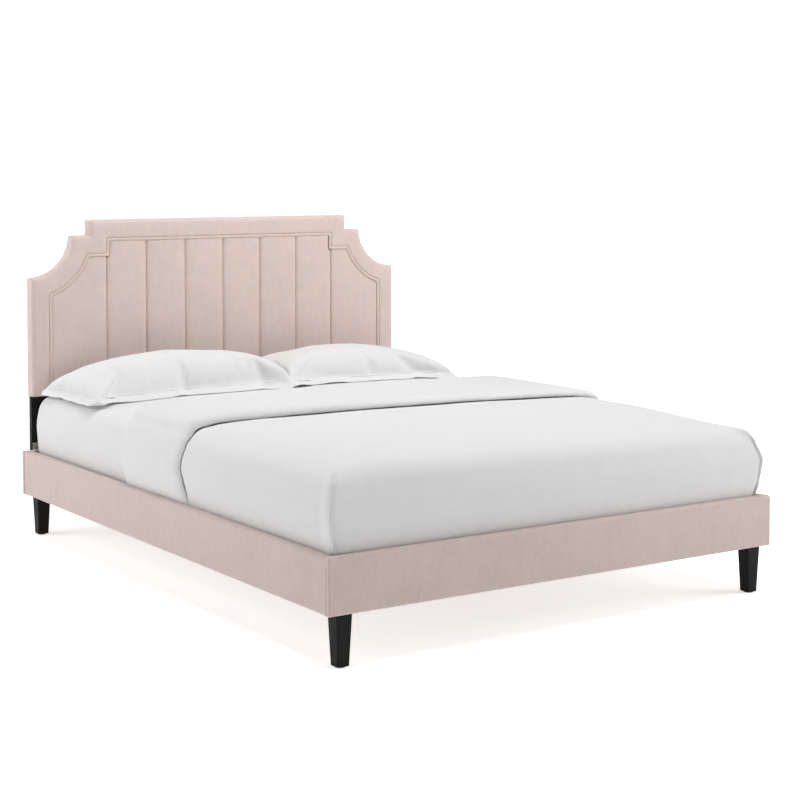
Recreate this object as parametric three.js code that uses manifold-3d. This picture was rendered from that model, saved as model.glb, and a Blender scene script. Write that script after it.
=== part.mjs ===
// A queen-size upholstered platform bed with a channelled headboard, made up with its bedding.
// Millimetres. +X is the bed's width, +Y runs from foot to head and +Z is up.
// The origin is on the floor, at the centre of the whole footprint.
import * as THREE from 'three';
import { mergeVertices } from 'three/addons/utils/BufferGeometryUtils.js';
import Module from 'manifold-3d';

const wasm = await Module();
wasm.setup();

// Clearances
const touchGap = 0.3; // between two pieces that are screwed, glued or laid against each other
const slatEndGap = 3; // between a slat's end and the side rail
const mattressSideGap = 18; // between the mattress and each side rail
const mattressHeadGap = 9; // between the mattress and the head rail
const mattressFootGap = 29; // between the mattress and the foot rail
const threadGap = 0.3; // around the levelling foot's stem
const bedGap = 0.6; // between a soft piece and what it lies on
const cutMargin = 5; // how far a cutting solid runs past the face it cuts

// Mattress
const mattressWidth = 1524;
const mattressLength = 2032;
const mattressThickness = 254;
const mattressCornerRadius = 60;

// Frame
const legHeight = 146;
const railHeight = 158;
const railBoardThickness = 25;
const railCoverThickness = 4.7;
const railEdgeRadius = 7;
const edgeSteps = 4;

// Corner legs
const legTopWidth = 50;
const legFootWidth = 38;
const legChamfer = 3;
const legInsetFromSide = 57;
const legInsetFromEnd = 38;
const glideDiameter = 30;
const glideThickness = 3;
const cornerBlockSize = 84;
const cornerBlockCut = 34;

// Slat deck
const ledgerWidth = 28;
const ledgerHeight = 30;
const slatWidth = 75;
const slatThickness = 18;
const slatCount = 10;
const slatEndMargin = 20; // from the foot and head rails to the first and last slats
const deckDepth = 59; // from the rails' top down to the slats' top

// Centre support
const beamWidth = 40;
const beamHeight = 60;
const hangerThickness = 2.5;
const hangerSeatLength = 45;
const hangerPlateMargin = 22;
const centreLegDiameter = 36;
const centreLegSpacing = 710;
const levelFootDiameter = 40;
const levelFootHeight = 8;
const levelStemDiameter = 8;
const levelStemLength = 62;
const levelStemShown = 14;

// Headboard
const headboardHeight = 1134;
const headboardSideInset = 30; // from the frame's side to the headboard's side
const headboardLift = 195; // from the rails' top up to the headboard's bottom
const crownDrop = 56; // from the crown down to the upper shoulder
const crownInset = 227; // from the headboard's side in to the crown
const coveDrop = 150; // from the upper shoulder down to the lower one
const coveLead = 6; // how much more the hollow corner's radius is than its drop
const coveFlat = 4; // level stretch between the hollow corner and the side
const padThickness = 22.3;
const edgeWrapThickness = 6;
const borderWidth = 68;
const channelCount = 6;
const faceBoardThickness = 7.4;
const postWidth = 78;
const postThickness = 20;
const postStart = 6; // from the rails' bottom up to the posts' lower ends
const battenHeight = 64;
const backClothThickness = 1.4;
const headBracketWidth = 30;
const headBracketHeight = 24;
const headBracketThickness = 3;
const headBracketReach = 20;
const headBracketInset = 3; // from the post's outer edge

// Bedding
const duvetThickness = 38;
const duvetSideThickness = 14;
const duvetFootThickness = 24;
const duvetFromHeadboard = 780; // from the headboard's front to where the duvet is folded back on itself
const flapLength = 444;
const flapThickness = 26;
const flapSwell = 8;
const duvetTuckDepth = 20; // how far the hem goes down between the mattress and the rails
const duvetSwell = 12; // how far the duvet bulges out above the rails
const duvetSwellStart = 8; // from the rails' top up to the bulge
const pillowDepth = 400;
const pillowOffset = 72; // how much further than half way the left pillow reaches
const pillowMiddleGap = 8;
const leftPillowHeight = 156;
const rightPillowHeight = 136;
const pillowFromHeadboard = 50;
const pillowSideInset = 10; // from the mattress's side to the outer end of each pillow
const pillowTurn = 4; // degrees; the two pillows' inner ends lie further back
const pillowBelly = 0.2; // share of a pillow's height below its widest line
const pillowSquareness = 4;

// Derived heights and lines
const railTop = legHeight + railHeight;
const railThickness = railBoardThickness + railCoverThickness + touchGap;
const frameWidth = mattressWidth + 2 * (mattressSideGap + railThickness);
const frameLength = mattressLength + mattressHeadGap + mattressFootGap + 2 * railThickness;
const headboardOverhang = postThickness + backClothThickness + 2 * touchGap;
const overallLength = frameLength + headboardOverhang;
const footLine = -overallLength / 2;
const headLine = footLine + frameLength;
const frameMiddle = (footLine + headLine) / 2;
const sideLine = frameWidth / 2;
const innerSide = sideLine - railThickness;
const innerFoot = footLine + railThickness;
const innerHead = headLine - railThickness;
const deckHeight = railTop - deckDepth;
const ledgerTop = deckHeight - slatThickness - touchGap;
const mattressBottom = deckHeight + touchGap;
const mattressTop = mattressBottom + mattressThickness;
const mattressHead = innerHead - mattressHeadGap;
const mattressFoot = mattressHead - mattressLength;
const headboardWidth = frameWidth - 2 * headboardSideInset;
const headboardBottom = railTop + headboardLift;
const headboardBack = headLine + headboardOverhang;
const postFront = headLine + touchGap;
const faceBoardFront = postFront - touchGap - faceBoardThickness;
const headboardFront = faceBoardFront - touchGap - padThickness;
const headboardThickness = headboardBack - headboardFront;
const crownWidth = headboardWidth - 2 * crownInset;
const upperShoulderHeight = headboardHeight - crownDrop;
const lowerShoulderHeight = upperShoulderHeight - coveDrop;
const coveRadius = coveDrop + coveLead;
const pillowShare = mattressWidth / 2 - pillowSideInset - pillowMiddleGap / 2;
const postOuter = headboardWidth / 2 - edgeWrapThickness - touchGap;
const postInner = postOuter - postWidth;

// Finishes
const velvet = finish('#cfbeb8', 0.88, 0);
const plywood = finish('#c8a878', 0.7, 0);
const pine = finish('#d3b98c', 0.65, 0);
const blackWood = finish('#1d1c1b', 0.42, 0);
const blackSteel = finish('#222224', 0.45, 0.8);
const zincSteel = finish('#b9bcc0', 0.35, 0.9);
const nylon = finish('#3a3a3a', 0.6, 0);
const liningCloth = finish('#26262a', 0.95, 0);
const ticking = finish('#f0eeea', 0.9, 0);
const cotton = finish('#f4f3f1', 0.85, 0);

function finish(colour, roughness, metalness) {
  return new THREE.MeshStandardMaterial({ color: colour, roughness, metalness });
}

// Boxes are given by their two corners.
function boxGeometry(low, high) {
  const geometry = new THREE.BoxGeometry(high[0] - low[0], high[1] - low[1], high[2] - low[2]);
  return geometry.translate((low[0] + high[0]) / 2, (low[1] + high[1]) / 2, (low[2] + high[2]) / 2);
}

function piece(name, geometry, material) {
  const mesh = new THREE.Mesh(geometry, material);
  mesh.name = name;
  return mesh;
}

function bareCopy(geometry) {
  const bare = geometry.clone();
  bare.deleteAttribute('normal');
  bare.deleteAttribute('uv');
  return bare;
}

// A geometry as a solid that can be cut and joined.
function solidOf(geometry) {
  const merged = mergeVertices(bareCopy(geometry), 1e-4);
  return new wasm.Manifold(
    new wasm.Mesh({
      numProp: 3,
      vertProperties: Float32Array.from(merged.attributes.position.array),
      triVerts: Uint32Array.from(merged.index.array),
    }),
  );
}

function geometryOf(solid) {
  const mesh = solid.getMesh();
  const geometry = new THREE.BufferGeometry();
  geometry.setAttribute('position', new THREE.BufferAttribute(mesh.vertProperties, 3));
  geometry.setIndex(new THREE.BufferAttribute(mesh.triVerts, 1));
  geometry.computeVertexNormals();
  return geometry;
}

// An outline drawn in Y and Z, run along X from a start.
function runAlongX(shape, start, length, curveSegments) {
  const geometry = new THREE.ExtrudeGeometry(shape, { depth: length, bevelEnabled: false, curveSegments });
  const turn = new THREE.Matrix4().makeBasis(
    new THREE.Vector3(0, 1, 0),
    new THREE.Vector3(0, 0, 1),
    new THREE.Vector3(1, 0, 0),
  );
  return geometry.applyMatrix4(turn).translate(start, 0, 0);
}

// An outline drawn in X and Z, run along Y from the front to the back.
function runAlongY(shape, front, depth) {
  const geometry = new THREE.ExtrudeGeometry(shape, { depth, bevelEnabled: false, curveSegments: 14 });
  return geometry.rotateX(Math.PI / 2).translate(0, front + depth, 0);
}

// An outline drawn in X and Y, run up from the bottom.
function runUp(shape, bottom, height, curveSegments = 4) {
  const geometry = new THREE.ExtrudeGeometry(shape, { depth: height, bevelEnabled: false, curveSegments });
  return geometry.translate(0, 0, bottom);
}

function roundedRectangle(left, right, low, high, radius) {
  const shape = new THREE.Shape();
  shape.moveTo(left + radius, low);
  shape.lineTo(right - radius, low);
  shape.absarc(right - radius, low + radius, radius, -Math.PI / 2, 0);
  shape.lineTo(right, high - radius);
  shape.absarc(right - radius, high - radius, radius, 0, Math.PI / 2);
  shape.lineTo(left + radius, high);
  shape.absarc(left + radius, high - radius, radius, Math.PI / 2, Math.PI);
  shape.lineTo(left, low + radius);
  shape.absarc(left + radius, low + radius, radius, Math.PI, Math.PI * 1.5);
  return shape;
}

// A rail lies along local X with its outer face at local Y 0 and its inner face at the rail's thickness.
// The padded cover wraps the outer, top and bottom faces, and the ends where they show.
function railCover(name, length, endsWrapped) {
  const outline = new THREE.Shape();
  outline.moveTo(railEdgeRadius, legHeight);
  outline.lineTo(railThickness, legHeight);
  outline.lineTo(railThickness, railTop);
  outline.lineTo(railEdgeRadius, railTop);
  outline.absarc(railEdgeRadius, railTop - railEdgeRadius, railEdgeRadius, Math.PI / 2, Math.PI);
  outline.lineTo(0, legHeight + railEdgeRadius);
  outline.absarc(railEdgeRadius, legHeight + railEdgeRadius, railEdgeRadius, Math.PI, Math.PI * 1.5);
  const body = solidOf(runAlongX(outline, -length / 2, length, edgeSteps));
  const pocketHalf = endsWrapped ? length / 2 - railCoverThickness : length / 2 + cutMargin;
  const pocket = solidOf(
    boxGeometry(
      [-pocketHalf, railCoverThickness, legHeight + railCoverThickness],
      [pocketHalf, railThickness + cutMargin, railTop - railCoverThickness],
    ),
  );
  return piece(name, geometryOf(body.subtract(pocket)), velvet);
}

function railBoard(name, length, endsWrapped) {
  const edge = railCoverThickness + touchGap;
  const half = endsWrapped ? length / 2 - edge : length / 2;
  const geometry = boxGeometry([-half, edge, legHeight + edge], [half, railThickness, railTop - edge]);
  return piece(name, geometry, plywood);
}

function rail(side, length, endsWrapped, x, y, turn) {
  const group = new THREE.Group();
  group.add(railBoard(`${side}_rail_board`, length, endsWrapped));
  group.add(railCover(`${side}_rail_cover`, length, endsWrapped));
  group.position.set(x, y, 0);
  group.rotation.z = turn;
  return group;
}

function rails() {
  const sideLength = frameLength - 2 * (railThickness + touchGap);
  const group = new THREE.Group();
  group.add(rail('foot', frameWidth, true, 0, footLine, 0));
  group.add(rail('head', frameWidth, true, 0, headLine, Math.PI));
  group.add(rail('left', sideLength, false, -sideLine, frameMiddle, -Math.PI / 2));
  group.add(rail('right', sideLength, false, sideLine, frameMiddle, Math.PI / 2));
  return group;
}

// The four corners of the frame: a name, which way X and Y point outwards, and the turn of its block.
const corners = [
  { name: 'foot_left', x: -1, y: -1, turn: 0 },
  { name: 'foot_right', x: 1, y: -1, turn: Math.PI / 2 },
  { name: 'head_left', x: -1, y: 1, turn: -Math.PI / 2 },
  { name: 'head_right', x: 1, y: 1, turn: Math.PI },
];

// Where a corner's leg and glide stand, seen from above.
function placeUnderCorner(mesh, corner, height) {
  const y = corner.y < 0 ? footLine + legInsetFromEnd : headLine - legInsetFromEnd;
  mesh.position.set(corner.x * (sideLine - legInsetFromSide), y, height);
  return mesh;
}

// A square leg that tapers down, with its four long edges chamfered.
function cornerLeg(corner) {
  const bottom = glideThickness + touchGap;
  const height = legHeight - touchGap - bottom;
  const toCorner = Math.SQRT1_2;
  const square = new THREE.CylinderGeometry(legTopWidth * toCorner, legFootWidth * toCorner, height, 4);
  square.rotateY(Math.PI / 4);
  const diamond = new THREE.CylinderGeometry(legTopWidth - legChamfer, legFootWidth - legChamfer, height, 4);
  const leg = geometryOf(solidOf(square).intersect(solidOf(diamond)));
  leg.rotateX(Math.PI / 2);
  return placeUnderCorner(piece(`leg_${corner.name}`, leg, blackWood), corner, bottom + height / 2);
}

function glide(corner) {
  const geometry = new THREE.CylinderGeometry(glideDiameter / 2, glideDiameter / 2, glideThickness, 24);
  geometry.rotateX(Math.PI / 2);
  return placeUnderCorner(piece(`glide_${corner.name}`, geometry, nylon), corner, glideThickness / 2);
}

// A block glued and screwed into the corner, with its inner corner cut off.
function cornerBlock(corner) {
  const size = cornerBlockSize;
  const shape = new THREE.Shape();
  shape.moveTo(0, 0);
  shape.lineTo(size, 0);
  shape.lineTo(size, size - cornerBlockCut);
  shape.lineTo(size - cornerBlockCut, size);
  shape.lineTo(0, size);
  const mesh = piece(`corner_block_${corner.name}`, runUp(shape, legHeight, ledgerTop - legHeight), pine);
  const x = corner.x * (innerSide - touchGap);
  const y = corner.y < 0 ? innerFoot + touchGap : innerHead - touchGap;
  mesh.position.set(x, y, 0);
  mesh.rotation.z = corner.turn;
  return mesh;
}

function ledger(name, side) {
  const outer = innerSide - touchGap;
  const x = [side * outer, side * (outer - ledgerWidth)].sort((a, b) => a - b);
  const endGap = cornerBlockSize + 2 * touchGap;
  const low = [x[0], innerFoot + endGap, ledgerTop - ledgerHeight];
  const high = [x[1], innerHead - endGap, ledgerTop];
  return piece(name, boxGeometry(low, high), pine);
}

function slats() {
  const group = new THREE.Group();
  const half = innerSide - slatEndGap;
  const first = innerFoot + slatEndMargin + slatWidth / 2;
  const last = innerHead - slatEndMargin - slatWidth / 2;
  for (let i = 0; i < slatCount; i += 1) {
    const board = boxGeometry([-half, -slatWidth / 2, 0], [half, slatWidth / 2, slatThickness]);
    const slat = piece(`slat_${i + 1}`, board, pine);
    slat.position.set(0, first + ((last - first) * i) / (slatCount - 1), deckHeight - slatThickness);
    group.add(slat);
  }
  return group;
}

// The beam's end sits in a steel saddle whose plate is screwed to the foot or head rail.
function beamHanger(name, y, turn) {
  const seatHalf = beamWidth / 2 + touchGap + hangerThickness;
  const beamBottom = ledgerTop - beamHeight;
  const bottom = beamBottom - touchGap - hangerThickness;
  const seatTop = beamBottom + beamHeight / 2;
  const saddle = new THREE.Shape();
  saddle.moveTo(-seatHalf, bottom);
  saddle.lineTo(seatHalf, bottom);
  saddle.lineTo(seatHalf, seatTop);
  saddle.lineTo(seatHalf - hangerThickness, seatTop);
  saddle.lineTo(seatHalf - hangerThickness, bottom + hangerThickness);
  saddle.lineTo(-seatHalf + hangerThickness, bottom + hangerThickness);
  saddle.lineTo(-seatHalf + hangerThickness, seatTop);
  saddle.lineTo(-seatHalf, seatTop);
  const seat = solidOf(runAlongY(saddle, 0, hangerThickness + hangerSeatLength));
  const plateHalf = seatHalf + hangerPlateMargin;
  const plate = solidOf(boxGeometry([-plateHalf, 0, bottom], [plateHalf, hangerThickness, seatTop]));
  const mesh = piece(name, geometryOf(seat.add(plate)), zincSteel);
  mesh.position.y = y;
  mesh.rotation.z = turn;
  return mesh;
}

function centreBeam() {
  const endGap = 2 * touchGap + hangerThickness;
  const low = [-beamWidth / 2, innerFoot + endGap, ledgerTop - beamHeight];
  return piece('centre_beam', boxGeometry(low, [beamWidth / 2, innerHead - endGap, ledgerTop]), pine);
}

function lathe(points) {
  const geometry = new THREE.LatheGeometry(points.map(([x, y]) => new THREE.Vector2(x, y)), 24);
  return geometry.rotateX(Math.PI / 2);
}

// A centre leg hangs under the beam; its levelling foot screws up into a bore in its lower end.
function centreLeg(name, y) {
  const radius = centreLegDiameter / 2;
  const bore = levelStemDiameter / 2 + threadGap;
  const bottom = levelFootHeight + levelStemShown;
  const boreTop = levelFootHeight + levelStemLength + levelStemShown + touchGap;
  const top = ledgerTop - beamHeight - touchGap;
  const profile = [[0, boreTop], [bore, boreTop], [bore, bottom], [radius, bottom], [radius, top], [0, top]];
  const mesh = piece(name, lathe(profile), blackWood);
  mesh.position.y = y;
  return mesh;
}

function levellingFoot(name, y) {
  const radius = levelFootDiameter / 2;
  const stem = levelStemDiameter / 2;
  const edge = 2;
  const top = levelFootHeight + levelStemLength;
  const profile = [
    [0, 0],
    [radius - edge, 0],
    [radius, edge],
    [radius, levelFootHeight - edge],
    [radius - edge, levelFootHeight],
    [stem, levelFootHeight],
    [stem, top],
    [0, top],
  ];
  const mesh = piece(name, lathe(profile), blackSteel);
  mesh.position.y = y;
  return mesh;
}

function centreSupport() {
  const group = new THREE.Group();
  group.add(beamHanger('beam_hanger_foot', innerFoot + touchGap, 0));
  group.add(beamHanger('beam_hanger_head', innerHead - touchGap, Math.PI));
  group.add(centreBeam());
  for (const [place, side] of [['foot', -1], ['head', 1]]) {
    const y = frameMiddle + (side * centreLegSpacing) / 2;
    group.add(centreLeg(`centre_leg_${place}`, y));
    group.add(levellingFoot(`levelling_foot_${place}`, y));
  }
  return group;
}

// The headboard's outline seen from the foot, moved in by an inset at the sides and the top.
// A raised crown steps down to two shoulders, and a hollow quarter round leads on to each side.
function headboardOutline(inset, bottom) {
  const side = headboardWidth / 2 - inset;
  const crown = crownWidth / 2 - inset;
  const top = headboardHeight - inset;
  const upper = upperShoulderHeight - inset;
  const coveX = headboardWidth / 2 - coveFlat;
  const coveZ = lowerShoulderHeight + coveRadius;
  const radius = coveRadius + inset;
  const lift = Math.asin((coveZ - upper) / radius);
  const reach = Math.asin(Math.max(0, coveX - side) / radius);
  const isFlat = side > coveX;
  const shape = new THREE.Shape();
  shape.moveTo(side, bottom);
  shape.lineTo(-side, bottom);
  if (isFlat) {
    shape.lineTo(-side, coveZ - radius);
  }
  shape.absarc(-coveX, coveZ, radius, Math.PI * 1.5 + reach, Math.PI * 2 - lift);
  shape.lineTo(-crown, upper);
  shape.lineTo(-crown, top);
  shape.lineTo(crown, top);
  shape.lineTo(crown, upper);
  shape.absarc(coveX, coveZ, radius, Math.PI + lift, Math.PI * 1.5 - reach);
  if (isFlat) {
    shape.lineTo(side, coveZ - radius);
  }
  return shape;
}

// The padded border: a ring in front, open along the bottom, and a wrap over the outer edges.
// The wrap's lower side is notched where the posts come down.
function headboardBorder() {
  const innerBottom = headboardBottom + edgeWrapThickness;
  const outer = headboardOutline(0, headboardBottom);
  const cutStart = headboardFront - cutMargin;
  const cutDepth = headboardThickness + 2 * cutMargin;
  const centre = solidOf(runAlongY(headboardOutline(borderWidth, innerBottom), cutStart, cutDepth));
  const hollow = solidOf(runAlongY(headboardOutline(edgeWrapThickness, innerBottom), cutStart, cutDepth));
  const ring = solidOf(runAlongY(outer, headboardFront, padThickness)).subtract(centre);
  const wrap = solidOf(runAlongY(outer, headboardFront, headboardThickness)).subtract(hollow);
  let border = ring.add(wrap);
  for (const side of [-1, 1]) {
    const x = [side * (postInner - touchGap), side * (postOuter + touchGap)].sort((a, b) => a - b);
    const notch = boxGeometry(
      [x[0], postFront - touchGap, headboardBottom - cutMargin],
      [x[1], headboardBack + cutMargin, innerBottom + cutMargin],
    );
    border = border.subtract(solidOf(notch));
  }
  return piece('headboard_border', geometryOf(border), velvet);
}

// The padded panel inside the border, sewn into upright channels with a wider wing at each side.
function headboardChannels() {
  const group = new THREE.Group();
  const panelTopInset = borderWidth + touchGap;
  const bottom = headboardBottom + edgeWrapThickness + touchGap;
  const panel = solidOf(runAlongY(headboardOutline(panelTopInset, bottom), headboardFront, padThickness));
  const outerSeam = crownWidth / 2 - borderWidth - touchGap;
  const pitch = (2 * outerSeam) / channelCount;
  const strips = [['wing_left', -headboardWidth / 2, -outerSeam]];
  for (let i = 0; i < channelCount; i += 1) {
    strips.push([`channel_${i + 1}`, -outerSeam + i * pitch, -outerSeam + (i + 1) * pitch]);
  }
  strips.push(['wing_right', outerSeam, headboardWidth / 2]);
  for (const [name, from, to] of strips) {
    const slice = boxGeometry(
      [from + touchGap / 2, headboardFront - cutMargin, 0],
      [to - touchGap / 2, headboardBack, headboardHeight],
    );
    group.add(piece(`headboard_${name}`, geometryOf(panel.intersect(solidOf(slice))), velvet));
  }
  return group;
}

// Behind the padding: a face board, two posts that run down behind the head rail, two battens and a lining.
function headboardFrame() {
  const group = new THREE.Group();
  const inset = edgeWrapThickness + touchGap;
  const bottom = headboardBottom + inset;
  const face = runAlongY(headboardOutline(inset, bottom), faceBoardFront, faceBoardThickness);
  group.add(piece('headboard_face_board', face, plywood));
  const postBack = postFront + postThickness;
  const postTop = lowerShoulderHeight - 2 * inset;
  for (const [name, side] of [['left', -1], ['right', 1]]) {
    const x = [side * postInner, side * postOuter].sort((a, b) => a - b);
    const post = boxGeometry([x[0], postFront, legHeight + postStart], [x[1], postBack, postTop]);
    group.add(piece(`headboard_post_${name}`, post, blackWood));
  }
  const lowHalf = postInner - touchGap;
  const lowBatten = boxGeometry([-lowHalf, postFront, bottom], [lowHalf, postBack, bottom + battenHeight]);
  group.add(piece('headboard_batten_lower', lowBatten, pine));
  const highHalf = crownWidth / 2 - 2 * inset;
  const highTop = headboardHeight - 2 * inset;
  const highBottom = highTop - battenHeight;
  const highBatten = boxGeometry([-highHalf, postFront, highBottom], [highHalf, postBack, highTop]);
  group.add(piece('headboard_batten_crown', highBatten, pine));
  const liningFront = headboardBack - backClothThickness;
  const lining = runAlongY(headboardOutline(inset, bottom), liningFront, backClothThickness);
  group.add(piece('headboard_lining', lining, liningCloth));
  return group;
}

// A steel angle on top of the head rail, screwed through its upright leg into the post.
function headBracket(name, side) {
  const back = postFront - touchGap;
  const bottom = railTop + touchGap;
  const profile = new THREE.Shape();
  profile.moveTo(back, bottom);
  profile.lineTo(back, bottom + headBracketHeight);
  profile.lineTo(back - headBracketThickness, bottom + headBracketHeight);
  profile.lineTo(back - headBracketThickness, bottom + headBracketThickness);
  profile.lineTo(back - headBracketReach, bottom + headBracketThickness);
  profile.lineTo(back - headBracketReach, bottom);
  const outer = postOuter - headBracketInset;
  const start = side < 0 ? -outer : outer - headBracketWidth;
  return piece(name, runAlongX(profile, start, headBracketWidth, edgeSteps), zincSteel);
}

function mattress() {
  const half = mattressWidth / 2;
  const shape = roundedRectangle(-half, half, mattressFoot, mattressHead, mattressCornerRadius);
  return piece('mattress', runUp(shape, mattressBottom, mattressThickness, 6), ticking);
}

// The duvet hangs over the mattress's sides and foot and tucks in behind the rails.
// Its head end is folded back towards the foot as a wide flap.
function duvet() {
  const insideHalf = mattressWidth / 2 + bedGap;
  const insideFoot = mattressFoot - bedGap;
  const insideTop = mattressTop + bedGap;
  const half = insideHalf + duvetSideThickness;
  const foot = insideFoot - duvetFootThickness;
  const top = insideTop + duvetThickness;
  const head = headboardFront - duvetFromHeadboard;
  const hem = railTop - duvetTuckDepth;
  const swellLow = railTop + duvetSwellStart;
  const tucked = boxGeometry([-half, foot, hem], [half, head, top]);
  const swollenHalf = half + duvetSwell;
  const swollen = boxGeometry([-swollenHalf, foot - duvetSwell, swellLow], [swollenHalf, head, top]);
  const flapHalf = swollenHalf + flapSwell;
  const flap = boxGeometry([-flapHalf, head - flapLength, swellLow], [flapHalf, head, top + flapThickness]);
  const inside = boxGeometry(
    [-insideHalf, insideFoot, hem - cutMargin],
    [insideHalf, head + cutMargin, insideTop],
  );
  const cloth = solidOf(tucked).add(solidOf(swollen)).add(solidOf(flap)).subtract(solidOf(inside));
  return piece('duvet', geometryOf(cloth), cotton);
}

// A plump cushion with a rounded-rectangle outline: a sphere drawn out towards its four corners.
function pillow(name, side, length, height) {
  const sphere = new THREE.SphereGeometry(1, 32, 16).rotateX(Math.PI / 2);
  const geometry = mergeVertices(bareCopy(sphere), 1e-4);
  const points = geometry.attributes.position;
  for (let i = 0; i < points.count; i += 1) {
    const x = points.getX(i);
    const y = points.getY(i);
    const z = points.getZ(i);
    const sum = Math.abs(x) ** pillowSquareness + Math.abs(y) ** pillowSquareness;
    const spread = sum > 0 ? Math.hypot(x, y) / sum ** (1 / pillowSquareness) : 1;
    const share = z > 0 ? 1 - pillowBelly : pillowBelly;
    points.setXYZ(i, (x * spread * length) / 2, (y * spread * pillowDepth) / 2, z * share * height);
  }
  geometry.computeVertexNormals();
  const mesh = piece(name, geometry, cotton);
  const x = side * (mattressWidth / 2 - pillowSideInset - length / 2);
  const y = headboardFront - pillowFromHeadboard - pillowDepth / 2;
  mesh.position.set(x, y, mattressTop + bedGap + pillowBelly * height);
  mesh.rotation.z = -side * THREE.MathUtils.degToRad(pillowTurn);
  return mesh;
}

const bed = new THREE.Group();
bed.add(rails());
for (const corner of corners) {
  bed.add(cornerLeg(corner), glide(corner), cornerBlock(corner));
}
bed.add(ledger('ledger_left', -1), ledger('ledger_right', 1));
bed.add(centreSupport(), slats());
bed.add(headboardBorder(), headboardChannels(), headboardFrame());
bed.add(headBracket('head_bracket_left', -1), headBracket('head_bracket_right', 1));
bed.add(mattress(), duvet());
bed.add(pillow('pillow_left', -1, pillowShare + pillowOffset, leftPillowHeight));
bed.add(pillow('pillow_right', 1, pillowShare - pillowOffset, rightPillowHeight));

export default bed;
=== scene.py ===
"""A queen-size upholstered bed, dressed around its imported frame: velvet, wood, steel and white bedding.

It is laid out as an add-on with one operator for each group of pieces, and is run as a script.
Everything is in metres, in the frame's own axes: +X across the bed, +Y from foot to head, +Z up.
"""
import math

import bmesh
import bpy
import numpy as np
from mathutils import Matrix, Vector, noise


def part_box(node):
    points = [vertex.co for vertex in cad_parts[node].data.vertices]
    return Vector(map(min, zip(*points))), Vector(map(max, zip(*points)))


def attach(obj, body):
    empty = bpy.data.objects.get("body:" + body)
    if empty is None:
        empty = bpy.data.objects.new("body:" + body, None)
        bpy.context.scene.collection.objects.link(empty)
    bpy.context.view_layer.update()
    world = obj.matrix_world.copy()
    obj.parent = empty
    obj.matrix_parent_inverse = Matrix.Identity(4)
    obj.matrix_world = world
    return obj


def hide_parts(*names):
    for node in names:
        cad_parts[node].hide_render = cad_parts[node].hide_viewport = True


bl_info = {
    "name": "Upholstered Channel Bed",
    "version": (1, 0, 0),
    "blender": (4, 5, 0),
    "location": "View3D > Sidebar > Bed",
    "description": "Builds the velvet, timber, fittings and bedding of a bed around its frame",
    "category": "Object",
}

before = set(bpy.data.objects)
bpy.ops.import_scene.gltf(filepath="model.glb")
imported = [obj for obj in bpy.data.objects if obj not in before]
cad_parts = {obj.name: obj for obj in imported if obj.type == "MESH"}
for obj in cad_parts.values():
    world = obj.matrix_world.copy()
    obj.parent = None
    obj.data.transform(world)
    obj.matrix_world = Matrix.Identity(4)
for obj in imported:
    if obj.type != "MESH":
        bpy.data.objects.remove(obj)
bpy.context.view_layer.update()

MM = 0.001
LEFT, RIGHT = -1.0, 1.0
SIDES = (("left", LEFT), ("right", RIGHT))


def node_box(name):
    """The lowest and highest corners of a frame node, as arrays."""
    low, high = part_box(name)
    return np.array(low), np.array(high)


# Lines that the pieces are placed by, taken from the frame.
RAIL_LOW, RAIL_HIGH = node_box("foot_rail_cover")
HEAD_RAIL_HIGH = node_box("head_rail_cover")[1]
SIDE_LOW, SIDE_HIGH = node_box("left_rail_cover")
BORDER_LOW, BORDER_HIGH = node_box("headboard_border")
FACE_LOW, FACE_HIGH = node_box("headboard_face_board")
LINING_HIGH = node_box("headboard_lining")[1]
MATTRESS_LOW, MATTRESS_HIGH = node_box("mattress")
DUVET_LOW, DUVET_HIGH = node_box("duvet")
POST_LOW, POST_HIGH = node_box("headboard_post_left")
LEDGER_LOW, LEDGER_HIGH = node_box("ledger_right")


# ---------------------------------------------------------------- meshes

def ease(t):
    """A smooth step from 0 to 1."""
    t = np.clip(t, 0.0, 1.0)
    return t * t * (3.0 - 2.0 * t)


def bell(t):
    """A smooth bump of height 1 at 0, close to 0 beyond 2."""
    return np.exp(-t * t)


def soft_noise(points, scale, seed):
    """Smooth noise from -1 to 1 at each point; scale is the size of one wrinkle in metres."""
    offset = Vector((seed * 7.13, seed * 3.71, seed * 5.37))
    return np.array([noise.noise(Vector(p) / scale + offset) for p in points])


def smooth_profile(points, count):
    """A smooth curve through a few points, sampled evenly by length."""
    points = np.array(points, float)
    ends = np.vstack([2 * points[0] - points[1], points, 2 * points[-1] - points[-2]])
    samples = []
    for i in range(1, len(ends) - 2):
        a, b, c, d = ends[i - 1], ends[i], ends[i + 1], ends[i + 2]
        for t in np.linspace(0, 1, 16, endpoint=False):
            samples.append(
                0.5 * ((2 * b) + (c - a) * t + (2 * a - 5 * b + 4 * c - d) * t**2
                       + (3 * b - a - 3 * c + d) * t**3)
            )
    samples.append(points[-1])
    samples = np.array(samples)
    along = np.concatenate([[0], np.cumsum(np.linalg.norm(np.diff(samples, axis=0), axis=1))])
    wanted = np.linspace(0, along[-1], count)
    return np.column_stack([np.interp(wanted, along, samples[:, k]) for k in range(points.shape[1])])


def mesh_object(name, verts, faces, material=None, smooth=True, merge=True):
    """A mesh object at the origin with its normals pointing out."""
    mesh = bpy.data.meshes.new(name)
    mesh.from_pydata([tuple(map(float, v)) for v in verts], [], [tuple(map(int, f)) for f in faces])
    mesh.update()
    bm = bmesh.new()
    bm.from_mesh(mesh)
    if merge:
        bmesh.ops.remove_doubles(bm, verts=bm.verts, dist=1e-6)
    bmesh.ops.recalc_face_normals(bm, faces=bm.faces)
    bm.to_mesh(mesh)
    bm.free()
    mesh.polygons.foreach_set("use_smooth", [smooth] * len(mesh.polygons))
    obj = bpy.data.objects.new(name, mesh)
    bpy.context.scene.collection.objects.link(obj)
    if material is not None:
        mesh.materials.append(material)
    return obj


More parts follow.
